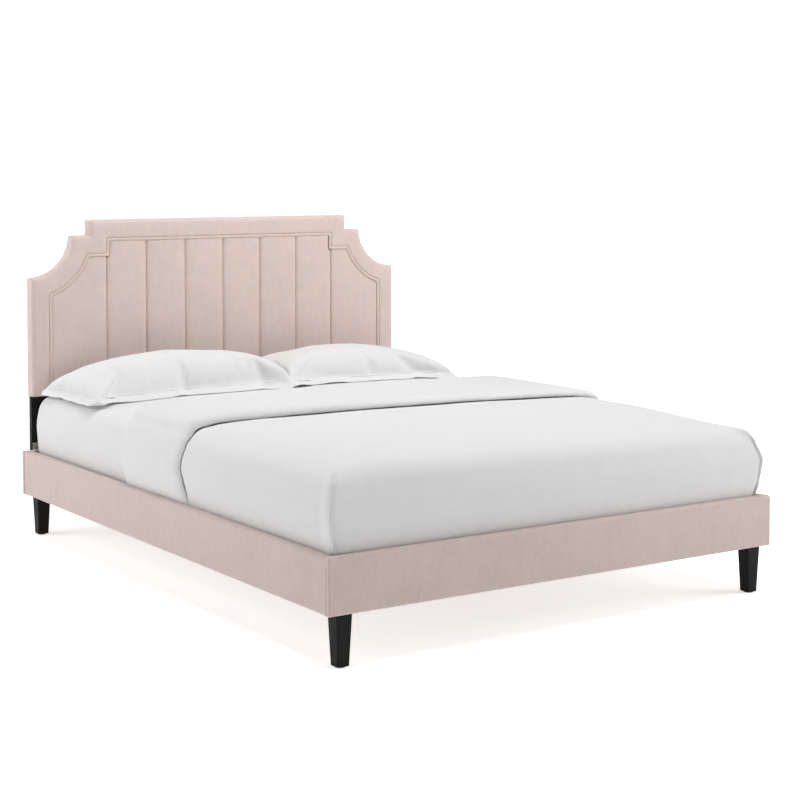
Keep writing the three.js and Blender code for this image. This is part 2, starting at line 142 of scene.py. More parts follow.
def grid_faces(rows, columns, start=0):
    """Quads over a grid of points numbered row by row."""
    faces = []
    for r in range(rows - 1):
        for c in range(columns - 1):
            first = start + r * columns + c
            faces.append((first, first + 1, first + columns + 1, first + columns))
    return faces


def swept_loop(name, sections, material):
    """A closed section carried along a path and capped; sections are (path, section, 3) arrays."""
    steps, around = sections.shape[:2]
    verts = sections.reshape(-1, 3)
    faces = []
    for s in range(steps - 1):
        for a in range(around):
            b = (a + 1) % around
            faces.append((s * around + a, s * around + b, (s + 1) * around + b, (s + 1) * around + a))
    faces.append(tuple(range(around)))
    faces.append(tuple((steps - 1) * around + a for a in reversed(range(around))))
    return mesh_object(name, verts, faces, material)


def shell_between(name, outer, inner, rows, columns, material):
    """A closed pad between two grids of points, joined along their four edges."""
    count = rows * columns
    verts = np.vstack([outer.reshape(-1, 3), inner.reshape(-1, 3)])
    faces = grid_faces(rows, columns)
    faces += [tuple(reversed(f)) for f in grid_faces(rows, columns, count)]
    rim = list(range(columns))
    rim += [r * columns + columns - 1 for r in range(1, rows)]
    rim += [(rows - 1) * columns + c for c in reversed(range(columns - 1))]
    rim += [r * columns for r in reversed(range(1, rows - 1))]
    for a, b in zip(rim, rim[1:] + rim[:1]):
        faces.append((b, a, count + a, count + b))
    return mesh_object(name, verts, faces, material)


def applied(obj):
    """Applies the object's modifiers, so that it is a plain mesh."""
    graph = bpy.context.evaluated_depsgraph_get()
    graph.update()
    mesh = bpy.data.meshes.new_from_object(obj.evaluated_get(graph))
    obj.modifiers.clear()
    old = obj.data
    obj.data = mesh
    mesh.name = obj.name
    bpy.data.meshes.remove(old)


def subdivided(obj):
    """One round of smoothing subdivision, applied."""
    modifier = obj.modifiers.new("Subdivision", "SUBSURF")
    modifier.levels = 1
    modifier.render_levels = 1
    applied(obj)
    obj.data.polygons.foreach_set("use_smooth", [True] * len(obj.data.polygons))


def sizes():
    """The sizes in the panel."""
    return bpy.context.scene.bed_sizes


# ---------------------------------------------------------------- materials

def node(tree, kind, **inputs):
    """A new node with its input sockets set by name."""
    made = tree.nodes.new(kind)
    for name, value in inputs.items():
        made.inputs[name.replace("_", " ")].default_value = value
    return made


def start_material(name):
    """A material with its tree, its main shader and the pieces' own coordinates."""
    material = bpy.data.materials.new(name)
    material.use_nodes = True
    tree = material.node_tree
    shader = tree.nodes["Principled BSDF"]
    place = tree.nodes.new("ShaderNodeTexCoord")
    return material, tree, shader, place.outputs["Object"]


def stretched(tree, vector, scale):
    """The coordinates stretched by a scale for each axis."""
    mapping = node(tree, "ShaderNodeMapping", Scale=scale)
    tree.links.new(vector, mapping.inputs["Vector"])
    return mapping.outputs["Vector"]


def noise_field(tree, vector, scale, detail=3.0, roughness=0.55, distortion=0.0):
    """The grey output of a noise texture."""
    texture = node(tree, "ShaderNodeTexNoise", Scale=scale, Detail=detail, Roughness=roughness,
                   Distortion=distortion)
    tree.links.new(vector, texture.inputs["Vector"])
    return texture.outputs["Fac"]


def spread(tree, value, low, high, from_low=0.3, from_high=0.7):
    """A grey value carried from one range to another."""
    made = node(tree, "ShaderNodeMapRange", From_Min=from_low, From_Max=from_high, To_Min=low, To_Max=high)
    tree.links.new(value, made.inputs["Value"])
    return made.outputs["Result"]


def combined(tree, kind, a, b):
    """Two values joined by arithmetic; b is a socket or a number."""
    made = tree.nodes.new("ShaderNodeMath")
    made.operation = kind
    tree.links.new(a, made.inputs[0])
    if isinstance(b, (int, float)):
        made.inputs[1].default_value = b
    else:
        tree.links.new(b, made.inputs[1])
    return made.outputs[0]


def between(tree, value, first, second):
    """A colour that runs from the first to the second as the value runs from 0 to 1."""
    ramp = tree.nodes.new("ShaderNodeValToRGB")
    ramp.color_ramp.elements[0].color = (*first, 1)
    ramp.color_ramp.elements[1].color = (*second, 1)
    tree.links.new(value, ramp.inputs["Fac"])
    return ramp.outputs["Color"]


def colour_by(tree, shader, value, first, second):
    """The shader's colour, running between two colours by a value."""
    tree.links.new(between(tree, value, first, second), shader.inputs["Base Color"])


def roughen_by(tree, shader, value, *ends):
    """The shader's roughness, spread between two limits by a value."""
    tree.links.new(spread(tree, value, *ends), shader.inputs["Roughness"])


def added(tree, *values):
    """The sum of several values."""
    total = values[0]
    for value in values[1:]:
        total = combined(tree, "ADD", total, value)
    return total


def add_bump(tree, shader, height, distance, strength):
    """Fine relief from a height field."""
    bump = node(tree, "ShaderNodeBump", Strength=strength, Distance=distance)
    tree.links.new(height, bump.inputs["Height"])
    tree.links.new(bump.outputs["Normal"], shader.inputs["Normal"])


def velvet_material(name, deep, light):
    """Short pile: soft brushed patches, a fine grain and a pale sheen at the edges."""
    material, tree, shader, place = start_material(name)
    patches = noise_field(tree, stretched(tree, place, (1.0, 1.0, 1.6)), 5.5, 3.0, 0.6, 0.4)
    strokes = noise_field(tree, stretched(tree, place, (46.0, 46.0, 15.0)), 1.0, 4.0, 0.65)
    pile = noise_field(tree, place, 1500.0, 2.0, 0.7)
    grain = noise_field(tree, stretched(tree, place, (190.0, 190.0, 120.0)), 1.0, 3.0, 0.7)
    tone = added(tree, spread(tree, patches, 0.0, 0.22), spread(tree, strokes, 0.0, 0.26),
                 spread(tree, grain, 0.0, 0.32), spread(tree, pile, 0.0, 0.20))
    colour_by(tree, shader, tone, deep, light)
    roughen_by(tree, shader, strokes, 0.82, 0.96)
    shader.inputs["Sheen Weight"].default_value = 0.34
    shader.inputs["Sheen Roughness"].default_value = 0.38
    shader.inputs["Sheen Tint"].default_value = (1.0, 0.93, 0.91, 1.0)
    shader.inputs["Specular IOR Level"].default_value = 0.25
    relief = added(tree, spread(tree, pile, 0.0, 1.0), spread(tree, strokes, 0.0, 0.6))
    add_bump(tree, shader, relief, 0.0004, 0.5)
    return material


def cotton_material(name, shade, light, crinkle=0.0006, slub=420.0, sheen=0.12):
    """Plain woven cotton: fine crossing threads, a few slubs and soft crinkles."""
    material, tree, shader, place = start_material(name)
    along = noise_field(tree, stretched(tree, place, (slub * 0.06, slub, slub)), 1.0, 2.0, 0.6)
    across = noise_field(tree, stretched(tree, place, (slub, slub * 0.06, slub * 0.5)), 1.0, 2.0, 0.6)
    soft = noise_field(tree, stretched(tree, place, (1.0, 1.3, 1.0)), 16.0, 4.0, 0.55, 0.6)
    threads = added(tree, spread(tree, along, 0.0, 0.5), spread(tree, across, 0.0, 0.5))
    tone = added(tree, combined(tree, "MULTIPLY", threads, 0.5), spread(tree, soft, 0.0, 0.5))
    colour_by(tree, shader, tone, shade, light)
    roughen_by(tree, shader, threads, 0.82, 0.94, 0.0, 1.0)
    shader.inputs["Sheen Weight"].default_value = sheen
    shader.inputs["Sheen Roughness"].default_value = 0.5
    shader.inputs["Specular IOR Level"].default_value = 0.25
    fine = combined(tree, "MULTIPLY", threads, 0.25)
    add_bump(tree, shader, added(tree, fine, spread(tree, soft, 0.0, 1.0)), crinkle, 0.55)
    return material


def wood_material(name, pale, dark, grain, gloss=0.6, pores=0.0002):
    """Sawn timber: long streaks along the grain axis, growth rings and fine pores."""
    material, tree, shader, place = start_material(name)
    long_way = [22.0, 22.0, 22.0]
    long_way["XYZ".index(grain)] = 1.3
    streaks = noise_field(tree, stretched(tree, place, tuple(long_way)), 1.0, 5.0, 0.62, 1.1)
    fine_way = [420.0, 420.0, 420.0]
    fine_way["XYZ".index(grain)] = 9.0
    fibres = noise_field(tree, stretched(tree, place, tuple(fine_way)), 1.0, 3.0, 0.6)
    rings = combined(tree, "SINE", combined(tree, "MULTIPLY", streaks, 58.0), 0.0)
    tone = added(tree, spread(tree, rings, 0.0, 0.34, -1.0, 1.0), spread(tree, streaks, 0.0, 0.36),
                 spread(tree, fibres, 0.0, 0.3))
    colour_by(tree, shader, tone, pale, dark)
    roughen_by(tree, shader, fibres, gloss - 0.08, gloss + 0.12)
    relief = added(tree, fibres, spread(tree, rings, 0.0, 0.4, -1.0, 1.0))
    add_bump(tree, shader, relief, pores, 0.5)
    return material


def painted_wood_material(name, deep, worn):
    """Black satin paint over wood: the grain shows as faint long ridges."""
    material, tree, shader, place = start_material(name)
    ridges = noise_field(tree, stretched(tree, place, (160.0, 160.0, 5.0)), 1.0, 4.0, 0.65)
    cloud = noise_field(tree, place, 24.0, 3.0)
    tone = added(tree, spread(tree, ridges, 0.0, 0.55), spread(tree, cloud, 0.0, 0.45))
    colour_by(tree, shader, tone, deep, worn)
    roughen_by(tree, shader, cloud, 0.42, 0.60)
    shader.inputs["Specular IOR Level"].default_value = 0.22
    add_bump(tree, shader, ridges, 0.0005, 0.5)
    return material


def metal_material(name, deep, bright, roughness, grain, metallic=1.0, relief=0.00008):
    """Plated or powder-coated steel: a cloudy tone and a fine grain."""
    material, tree, shader, place = start_material(name)
    cells = node(tree, "ShaderNodeTexVoronoi", Scale=grain)
    tree.links.new(place, cells.inputs["Vector"])
    cloud = noise_field(tree, place, grain * 0.6, 4.0, 0.6)
    tone = added(tree, spread(tree, cells.outputs["Distance"], 0.0, 0.5, 0.0, 0.8),
                    spread(tree, cloud, 0.0, 0.5))
    colour_by(tree, shader, tone, deep, bright)
    roughen_by(tree, shader, cloud, roughness - 0.08, roughness + 0.1)
    shader.inputs["Metallic"].default_value = metallic
    add_bump(tree, shader, tone, relief, 0.6)
    return material


def lining_material(name, deep, light):
    """Thin pressed fibre cloth with a close pattern of embossed dots."""
    material, tree, shader, place = start_material(name)
    dots = node(tree, "ShaderNodeTexVoronoi", Scale=520.0, Randomness=0.15)
    tree.links.new(place, dots.inputs["Vector"])
    fibres = noise_field(tree, place, 900.0, 4.0, 0.7, 1.5)
    tone = added(tree, spread(tree, dots.outputs["Distance"], 0.0, 0.5, 0.1, 0.6),
                    spread(tree, fibres, 0.0, 0.5))
    colour_by(tree, shader, tone, deep, light)
    roughen_by(tree, shader, fibres, 0.78, 0.95)
    add_bump(tree, shader, tone, 0.0003, 0.6)
    return material


def ticking_material(name, shade, light):
    """Mattress cloth: narrow woven stripes on an off-white ground."""
    material, tree, shader, place = start_material(name)
    stripes = node(tree, "ShaderNodeTexWave", Scale=18.0, Distortion=0.3, Detail=2.0)
    stripes.bands_direction = "X"
    tree.links.new(place, stripes.inputs["Vector"])
    threads = noise_field(tree, stretched(tree, place, (700.0, 60.0, 300.0)), 1.0, 2.0)
    tone = added(tree, spread(tree, stripes.outputs["Fac"], 0.0, 0.7, 0.75, 0.95),
                    spread(tree, threads, 0.0, 0.3))
    colour_by(tree, shader, tone, light, shade)
    roughen_by(tree, shader, threads, 0.8, 0.95)
    add_bump(tree, shader, added(tree, threads, stripes.outputs["Fac"]), 0.0004, 0.5)
    return material


MATERIALS = {}


def shaded(colour, factor):
    """A colour made lighter or darker, and never brighter than white."""
    return tuple(min(1.0, factor * channel) for channel in colour)


def make_materials():
    """Every finish of the bed, from the colours in the panel."""
    look = bpy.context.scene.bed_finishes
    velvet, white = look.velvet, look.bedding
    soft_white = shaded(white, 0.965)
    pine = ((0.66, 0.47, 0.27), (0.43, 0.25, 0.11))
    plywood = ((0.62, 0.46, 0.30), (0.46, 0.31, 0.17))
    MATERIALS.update({
        "velvet": velvet_material("blush_velvet", shaded(velvet, 0.88), shaded(velvet, 1.12)),
        "thread": cotton_material("velvet_thread", shaded(velvet, 0.62), shaded(velvet, 0.80),
                                  0.0001, 2600.0),
        "sheet": cotton_material("sheet_cotton", soft_white, shaded(white, 1.0), 0.0004),
        "duvet_cotton": cotton_material("duvet_cover_cotton", soft_white, shaded(white, 1.0), 0.0009),
        "pillow_cotton": cotton_material("pillow_case_cotton", shaded(white, 0.95), shaded(white, 0.985),
                                         0.0008, 360.0),
        "ticking": ticking_material("mattress_ticking", (0.34, 0.37, 0.42), (0.66, 0.65, 0.62)),
        "pine_x": wood_material("pine_along_slats", *pine, "X"),
        "pine_y": wood_material("pine_along_bed", *pine, "Y"),
        "pine_z": wood_material("pine_upright", *pine, "Z"),
        "plywood_x": wood_material("plywood_across", *plywood, "X", 0.66),
        "plywood_y": wood_material("plywood_along", *plywood, "Y", 0.66),
        "black_wood": painted_wood_material("black_painted_wood", (0.003, 0.003, 0.003),
                                            (0.011, 0.010, 0.010)),
        "black_steel": metal_material("black_powder_coat", (0.010, 0.010, 0.011), (0.026, 0.026, 0.027),
                                      0.5, 900.0, 0.0, 0.0003),
        "zinc": metal_material("zinc_plate", (0.36, 0.37, 0.38), (0.66, 0.66, 0.64), 0.34, 160.0),
        "nylon": metal_material("grey_nylon", (0.05, 0.05, 0.05), (0.085, 0.083, 0.08), 0.55, 500.0, 0.0),
        "lining": lining_material("dust_lining", (0.010, 0.010, 0.012), (0.045, 0.045, 0.05)),
        "webbing": cotton_material("slat_webbing", (0.50, 0.50, 0.48), (0.72, 0.71, 0.68), 0.0003, 900.0),
    })


def dress_node(name, key):
    """Gives a frame node its finish in place of the plain one."""
    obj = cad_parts[name]
    if not obj.data.materials:
        obj.data.materials.append(MATERIALS[key])
    for i in range(len(obj.data.materials)):
        obj.data.materials[i] = MATERIALS[key]
    for slot in obj.material_slots:
        slot.material = MATERIALS[key]


# ---------------------------------------------------------------- geometry nodes

def start_tree(name, settings):
    """A geometry-nodes group with a geometry in and out and named size inputs."""
    tree = bpy.data.node_groups.new(name, "GeometryNodeTree")
    face = tree.interface
    face.new_socket("Geometry", in_out="INPUT", socket_type="NodeSocketGeometry")
    for label, kind, value in settings:
        socket = face.new_socket(label, in_out="INPUT", socket_type=kind)
        socket.default_value = value
    face.new_socket("Geometry", in_out="OUTPUT", socket_type="NodeSocketGeometry")
    return tree, tree.nodes.new("NodeGroupInput"), tree.nodes.new("NodeGroupOutput")


def end_tree(tree, geometry, output, material):
    """Makes the instances real and gives them their finish."""
    real = tree.nodes.new("GeometryNodeRealizeInstances")
    paint = tree.nodes.new("GeometryNodeSetMaterial")
    paint.inputs["Material"].default_value = material
    tree.links.new(geometry, real.inputs["Geometry"])
    tree.links.new(real.outputs["Geometry"], paint.inputs["Geometry"])
    tree.links.new(paint.outputs["Geometry"], output.inputs["Geometry"])


def grown(obj, tree, values):
    """Runs a node group on an object and keeps the result as its plain mesh."""
    modifier = obj.modifiers.new(tree.name, "NODES")
    modifier.node_group = tree
    sockets = {s.name: s.identifier for s in tree.interface.items_tree if s.in_out == "INPUT"}
    for label, value in values.items():
        modifier[sockets[label]] = value
    applied(obj)
    obj.data.update()


def points_object(name, places, directions=None):
    """Loose points, each with a direction that its copy will face."""
    mesh = bpy.data.meshes.new(name)
    mesh.from_pydata([tuple(map(float, p)) for p in places], [], [])
    if directions is not None:
        facing = mesh.attributes.new("facing", "FLOAT_VECTOR", "POINT")
        facing.data.foreach_set("vector", np.array(directions, np.float32).ravel())
    obj = bpy.data.objects.new(name, mesh)
    bpy.context.scene.collection.objects.link(obj)
    return obj


def lines_object(name, lines):
    """Separate open lines of points."""
    verts, edges = [], []
    for line in lines:
        first = len(verts)
        verts += [tuple(map(float, p)) for p in line]
        edges += [(first + i, first + i + 1) for i in range(len(line) - 1)]
    mesh = bpy.data.meshes.new(name)
    mesh.from_pydata(verts, edges, [])
    obj = bpy.data.objects.new(name, mesh)
    bpy.context.scene.collection.objects.link(obj)
    return obj


def slat_tree(material):
    """Evenly spaced bars with rounded edges, laid along Y."""
    tree, source, output = start_tree("slat_row", [
        ("Count", "NodeSocketInt", 10), ("First", "NodeSocketVector", (0, 0, 0)),
        ("Pitch", "NodeSocketVector", (0, 0.2, 0)), ("Half Length", "NodeSocketVector", (0.7, 0, 0)),
        ("Width", "NodeSocketFloat", 0.07), ("Thickness", "NodeSocketFloat", 0.018),
        ("Edge Radius", "NodeSocketFloat", 0.003),
    ])
    links = tree.links
    row = tree.nodes.new("GeometryNodeMeshLine")
    links.new(source.outputs["Count"], row.inputs["Count"])
    links.new(source.outputs["First"], row.inputs["Start Location"])
    links.new(source.outputs["Pitch"], row.inputs["Offset"])
    flip = tree.nodes.new("ShaderNodeVectorMath")
    flip.operation = "SCALE"
    flip.inputs["Scale"].default_value = -1.0
    links.new(source.outputs["Half Length"], flip.inputs[0])
    spine = tree.nodes.new("GeometryNodeCurvePrimitiveLine")
    links.new(flip.outputs["Vector"], spine.inputs["Start"])
    links.new(source.outputs["Half Length"], spine.inputs["End"])
    section = tree.nodes.new("GeometryNodeCurvePrimitiveQuadrilateral")
    links.new(source.outputs["Width"], section.inputs["Width"])
    links.new(source.outputs["Thickness"], section.inputs["Height"])
    rounded = tree.nodes.new("GeometryNodeFilletCurve")
    rounded.mode = "POLY"
    rounded.inputs["Count"].default_value = 3
    links.new(section.outputs["Curve"], rounded.inputs["Curve"])
    links.new(source.outputs["Edge Radius"], rounded.inputs["Radius"])
    bar = tree.nodes.new("GeometryNodeCurveToMesh")
    bar.inputs["Fill Caps"].default_value = True
    links.new(spine.outputs["Curve"], bar.inputs["Curve"])
    links.new(rounded.outputs["Curve"], bar.inputs["Profile Curve"])
    end_tree(tree, copies_on(tree, row.outputs["Mesh"], bar.outputs["Mesh"]), output, material)
    return tree


def copies_on(tree, points, shape, rotation=None, scale=None):
    """Copies of a shape on points, turned and sized where that is given."""
    copies = tree.nodes.new("GeometryNodeInstanceOnPoints")
    tree.links.new(points, copies.inputs["Points"])
    tree.links.new(shape, copies.inputs["Instance"])
    if rotation is not None:
        tree.links.new(rotation, copies.inputs["Rotation"])
    if scale is not None:
        tree.links.new(scale, copies.inputs["Scale"])
    return copies.outputs["Instances"]


def places_along(tree, source):
    """Evenly spaced places on the source's lines, and the rotation that lays a copy's Z axis along them."""
    curve = tree.nodes.new("GeometryNodeMeshToCurve")
    tree.links.new(source.outputs["Geometry"], curve.inputs["Mesh"])
    places = tree.nodes.new("GeometryNodeCurveToPoints")
    places.mode = "LENGTH"
    tree.links.new(curve.outputs["Curve"], places.inputs["Curve"])
    tree.links.new(source.outputs["Spacing"], places.inputs["Length"])
    turn = tree.nodes.new("FunctionNodeAlignRotationToVector")
    turn.axis = "Z"
    tree.links.new(places.outputs["Tangent"], turn.inputs["Vector"])
    return places.outputs["Points"], turn.outputs["Rotation"]


def bead_size(tree, source, thickness, length):
    """The scale of a bead from two of the tree's sizes."""
    size = tree.nodes.new("ShaderNodeCombineXYZ")
    for axis, label in (("X", thickness), ("Y", thickness), ("Z", length)):
        tree.links.new(source.outputs[label], size.inputs[axis])
    return size.outputs["Vector"]


def facing_rotation(tree):
    """A rotation that turns a copy's Z axis to its point's direction."""
    facing = tree.nodes.new("GeometryNodeInputNamedAttribute")
    facing.data_type = "FLOAT_VECTOR"
    facing.inputs["Name"].default_value = "facing"
    turn = tree.nodes.new("FunctionNodeAlignRotationToVector")
    turn.axis = "Z"
    tree.links.new(facing.outputs["Attribute"], turn.inputs["Vector"])
    return turn.outputs["Rotation"]


def screw_tree(material):
    """Plain domed screw heads, one on each point."""
    tree, source, output = start_tree("screw_heads", [
        ("Head Radius", "NodeSocketFloat", 0.004), ("Head Height", "NodeSocketFloat", 0.002),
    ])
    links = tree.links
    dome = node(tree, "GeometryNodeMeshUVSphere", Segments=12, Rings=6)
    links.new(source.outputs["Head Radius"], dome.inputs["Radius"])
    size = tree.nodes.new("ShaderNodeCombineXYZ")
    ratio = tree.nodes.new("ShaderNodeMath")
    ratio.operation = "DIVIDE"
    links.new(source.outputs["Head Height"], ratio.inputs[0])
    links.new(source.outputs["Head Radius"], ratio.inputs[1])
    size.inputs["X"].default_value = 1.0
    size.inputs["Y"].default_value = 1.0
    links.new(ratio.outputs[0], size.inputs["Z"])
    flat = tree.nodes.new("GeometryNodeTransform")
    links.new(dome.outputs["Mesh"], flat.inputs["Geometry"])
    links.new(size.outputs["Vector"], flat.inputs["Scale"])
    heads = copies_on(tree, source.outputs["Geometry"], flat.outputs["Geometry"], facing_rotation(tree))
    end_tree(tree, heads, output, material)
    return tree


def stitch_tree(material):
    """Short plump stitches laid end to end along each line."""
    tree, source, output = start_tree("stitch_run", [
        ("Spacing", "NodeSocketFloat", 0.0055), ("Length", "NodeSocketFloat", 0.0042),
        ("Thickness", "NodeSocketFloat", 0.0009),
    ])
    points, rotation = places_along(tree, source)
    bead = node(tree, "GeometryNodeMeshUVSphere", Segments=6, Rings=4, Radius=0.5)
    size = bead_size(tree, source, "Thickness", "Length")
    end_tree(tree, copies_on(tree, points, bead.outputs["Mesh"], rotation, size), output, material)
    return tree


STAPLE_LEAN = 0.12  # how far a staple may turn out of line, in radians


def staple_tree(material):
    """Flat wire staples set along each line, square to a fixed face."""
    tree, source, output = start_tree("staple_run", [
        ("Spacing", "NodeSocketFloat", 0.03), ("Crown", "NodeSocketFloat", 0.010),
        ("Wire", "NodeSocketFloat", 0.0011), ("Seed", "NodeSocketInt", 4),
    ])
    points, rotation = places_along(tree, source)
    wire = node(tree, "GeometryNodeMeshUVSphere", Segments=6, Rings=4, Radius=0.62)
    lean = tree.nodes.new("FunctionNodeRandomValue")
    lean.data_type = "FLOAT_VECTOR"
    lean.inputs["Min"].default_value = (-STAPLE_LEAN,) * 3
    lean.inputs["Max"].default_value = (STAPLE_LEAN,) * 3
    tree.links.new(source.outputs["Seed"], lean.inputs["Seed"])
    tilt = tree.nodes.new("FunctionNodeRotateRotation")
    tilt.rotation_space = "LOCAL"
    tree.links.new(rotation, tilt.inputs["Rotation"])
    tree.links.new(lean.outputs["Value"], tilt.inputs["Rotate By"])
    size = bead_size(tree, source, "Wire", "Crown")
    staples = copies_on(tree, points, wire.outputs["Mesh"], tilt.outputs["Rotation"], size)
    end_tree(tree, staples, output, material)
    return tree


# ---------------------------------------------------------------- headboard

FRONT = BORDER_LOW[1]
HEADBOARD_HALF = BORDER_HIGH[0]
HEADBOARD_TOP = BORDER_HIGH[2]
HEADBOARD_BOTTOM = BORDER_LOW[2]
PAD_BACK = FACE_LOW[1] - 0.4 * MM
EDGE_INSET = HEADBOARD_HALF - FACE_HIGH[0]
CROWN_HALF = node_box("headboard_batten_crown")[1][0] + 2 * EDGE_INSET
PANEL_TOP = node_box("headboard_channel_3")[1][2]
WING_TOP = node_box("headboard_wing_left")[1][2]
BORDER_WIDTH = HEADBOARD_TOP - PANEL_TOP
SHOULDER = WING_TOP + BORDER_WIDTH
HOLLOW_X = HEADBOARD_HALF - 4 * MM
HOLLOW_Z = SHOULDER + 6 * MM
HOLLOW_RADIUS = 156 * MM
CORNER_FILLET = 7 * MM


def fillet(corner, before, after, radius=CORNER_FILLET, count=5):
    """A small curve that rounds off a corner between two unit directions."""
    start, end = corner + before * radius, corner + after * radius
    t = np.linspace(0, 1, count)[:, None]
    return (1 - t) ** 2 * start + 2 * t * (1 - t) * corner + t**2 * end


def right_outline(inset, bottom):
    """The right half of the headboard's outline moved inwards, from its foot to the middle of its crown."""
    side, crown, top = HEADBOARD_HALF - inset, CROWN_HALF - inset, HEADBOARD_TOP - inset
    shoulder, radius = SHOULDER - inset, HOLLOW_RADIUS + inset
    centre = np.array([HOLLOW_X, HOLLOW_Z])
    low = np.array([side, HOLLOW_Z - math.sqrt(radius**2 - (side - HOLLOW_X) ** 2)])
    high = np.array([HOLLOW_X - math.sqrt(radius**2 - (shoulder - HOLLOW_Z) ** 2), shoulder])
    first = math.atan2(low[1] - HOLLOW_Z, low[0] - HOLLOW_X)
    last = math.atan2(high[1] - HOLLOW_Z, high[0] - HOLLOW_X)
    into = np.array([math.sin(first), -math.cos(first)])
    out = -np.array([math.sin(last), -math.cos(last)])
    trim = CORNER_FILLET / radius
    angles = np.linspace(first - trim, last + trim, 34)
    arc = centre + radius * np.column_stack([np.cos(angles), np.sin(angles)])
    left, up, down, right = np.array([[-1, 0], [0, 1], [0, -1], [1, 0]], float)
    inner, outer = np.array([crown, shoulder]), np.array([crown, top])
    rise = np.linspace(bottom, low[1] - CORNER_FILLET, 44)
    parts = [
        np.column_stack([np.full(44, side), rise])[:-1],
        fillet(low, down, into), arc[1:-1], fillet(high, out, left),
        fillet(inner, right, up), fillet(outer, down, left),
        np.column_stack([np.linspace(crown - CORNER_FILLET, 0, 56), np.full(56, top)])[1:],
    ]
    return np.vstack(parts)


def outline(inset, bottom=HEADBOARD_BOTTOM):
    """The whole outline, from the left foot over the crown to the right foot, in X and Z."""
    half = right_outline(inset, bottom)
    mirrored = half * (-1, 1)
    return np.vstack([mirrored, half[-2::-1]])


def outline_sweep(name, section, material, waviness=0.0, seed=1):
    """Carries a section of (inset, depth behind the front) round the headboard's outline."""
    rings = []
    for inset, depth in section:
        flat = outline(inset)
        rings.append(np.column_stack([flat[:, 0], np.full(len(flat), FRONT + depth), flat[:, 1]]))
    sections = np.stack(rings, axis=1)
    if waviness:
        shown = np.array([max(0.0, 1 - 60 * depth) for _, depth in section])
        for k in range(sections.shape[1]):
            sections[:, k, 1] += waviness * shown[k] * (1 + soft_noise(sections[:, k], 0.055, seed))
    return swept_loop(name, sections, material)


def headboard_border():
    """The padded border: a seam, a soft face, a rounded outer edge and a wrap to the back."""
    seam = BORDER_WIDTH - 2.0 * MM
    section = [
        (seam, 8.5), (seam + 0.5 * MM, 4.2), (seam - 0.7 * MM, 2.0), (seam - 3.0 * MM, 0.9),
        (seam - 8 * MM, 0.35), (seam - 16 * MM, 0.1), (seam - 26 * MM, 0.0), (seam - 38 * MM, 0.1),
        (19 * MM, 0.35), (14 * MM, 0.9), (10 * MM, 1.9), (6.4 * MM, 3.7), (3.4 * MM, 6.4), (1.4 * MM, 9.6),
        (0.3 * MM, 13.4), (0.0, 18.0), (0.15 * MM, 26.0), (0.15 * MM, 36.0), (0.0, 45.0), (0.4 * MM, 49.0),
        (1.6 * MM, 51.2), (3.6 * MM, 51.9), (EDGE_INSET - 0.2 * MM, 51.6), (EDGE_INSET - 0.2 * MM, 50.5),
        (EDGE_INSET - 0.2 * MM, 22.2), (seam, 22.2),
    ]
    piece = outline_sweep("headboard_border_velvet", [(i, d * MM) for i, d in section],
                          MATERIALS["velvet"], 0.45 * MM, 3)
    return finish_piece(piece, "bed_frame", ["headboard_border"])


def headboard_welt():
    """A narrow flat band stitched down between the border and the panel."""
    low = BORDER_WIDTH - 1.3 * MM
    high = low + sizes().welt_width
    middle = (low + high) / 2
    section = [
        (low, 9.0), (low, 3.6), (low + 0.9 * MM, 1.9), (low + 2.6 * MM, 1.1), (middle, 0.9),
        (high - 2.6 * MM, 1.1), (high - 0.9 * MM, 1.9), (high, 3.6), (high, 9.0),
    ]
    piece = outline_sweep("headboard_welt", [(i, d * MM) for i, d in section],
                          MATERIALS["velvet"], 0.3 * MM, 5)
    return finish_piece(piece, "bed_frame")


def panel_depth(to_seam, to_welt, across, position):
    """How far a channel's face lies behind its crest, with small puckers beside its seams."""
    groove = np.exp(-to_seam / (2.6 * MM)) * 0.52 + np.exp(-to_seam / (11 * MM)) * 0.48
    tucked = np.exp(-to_welt / (3.0 * MM)) * 0.22 + np.exp(-to_welt / (10 * MM)) * 0.22
    crown = 1.6 * MM * (1 - np.clip(across, 0, 1)) ** 2
    puckers = 0.7 * MM * soft_noise(position * (1, 1, 2.2), 0.034, 7) * bell(to_seam / (16 * MM))
    drape = 0.55 * MM * soft_noise(position * (1.8, 1, 0.7), 0.12, 9)
    return 1.0 * MM + np.maximum(groove, tucked) * sizes().seam_depth + crown + puckers + drape


def seam_fractions(count):
    """Fractions across a channel, crowded towards both seams."""
    t = np.linspace(-1, 1, count)
    return 0.5 + 0.5 * np.sign(t) * (1 - (1 - np.abs(t)) ** 1.9)


def panel_piece(name, x, z, to_seam, to_welt, across, node_name):
    """One sewn channel or wing, a closed pad with its face modelled."""
    flat = np.stack([x, np.full_like(x, FRONT), z], axis=-1)
    depth = panel_depth(to_seam.ravel(), to_welt.ravel(), across.ravel(), flat.reshape(-1, 3))
    outer = flat.copy()
    outer[..., 1] += depth.reshape(x.shape)
    inner = flat.copy()
    inner[..., 1] = PAD_BACK
    piece = shell_between(name, outer, inner, *x.shape, MATERIALS["velvet"])
    return finish_piece(piece, "bed_frame", [node_name])


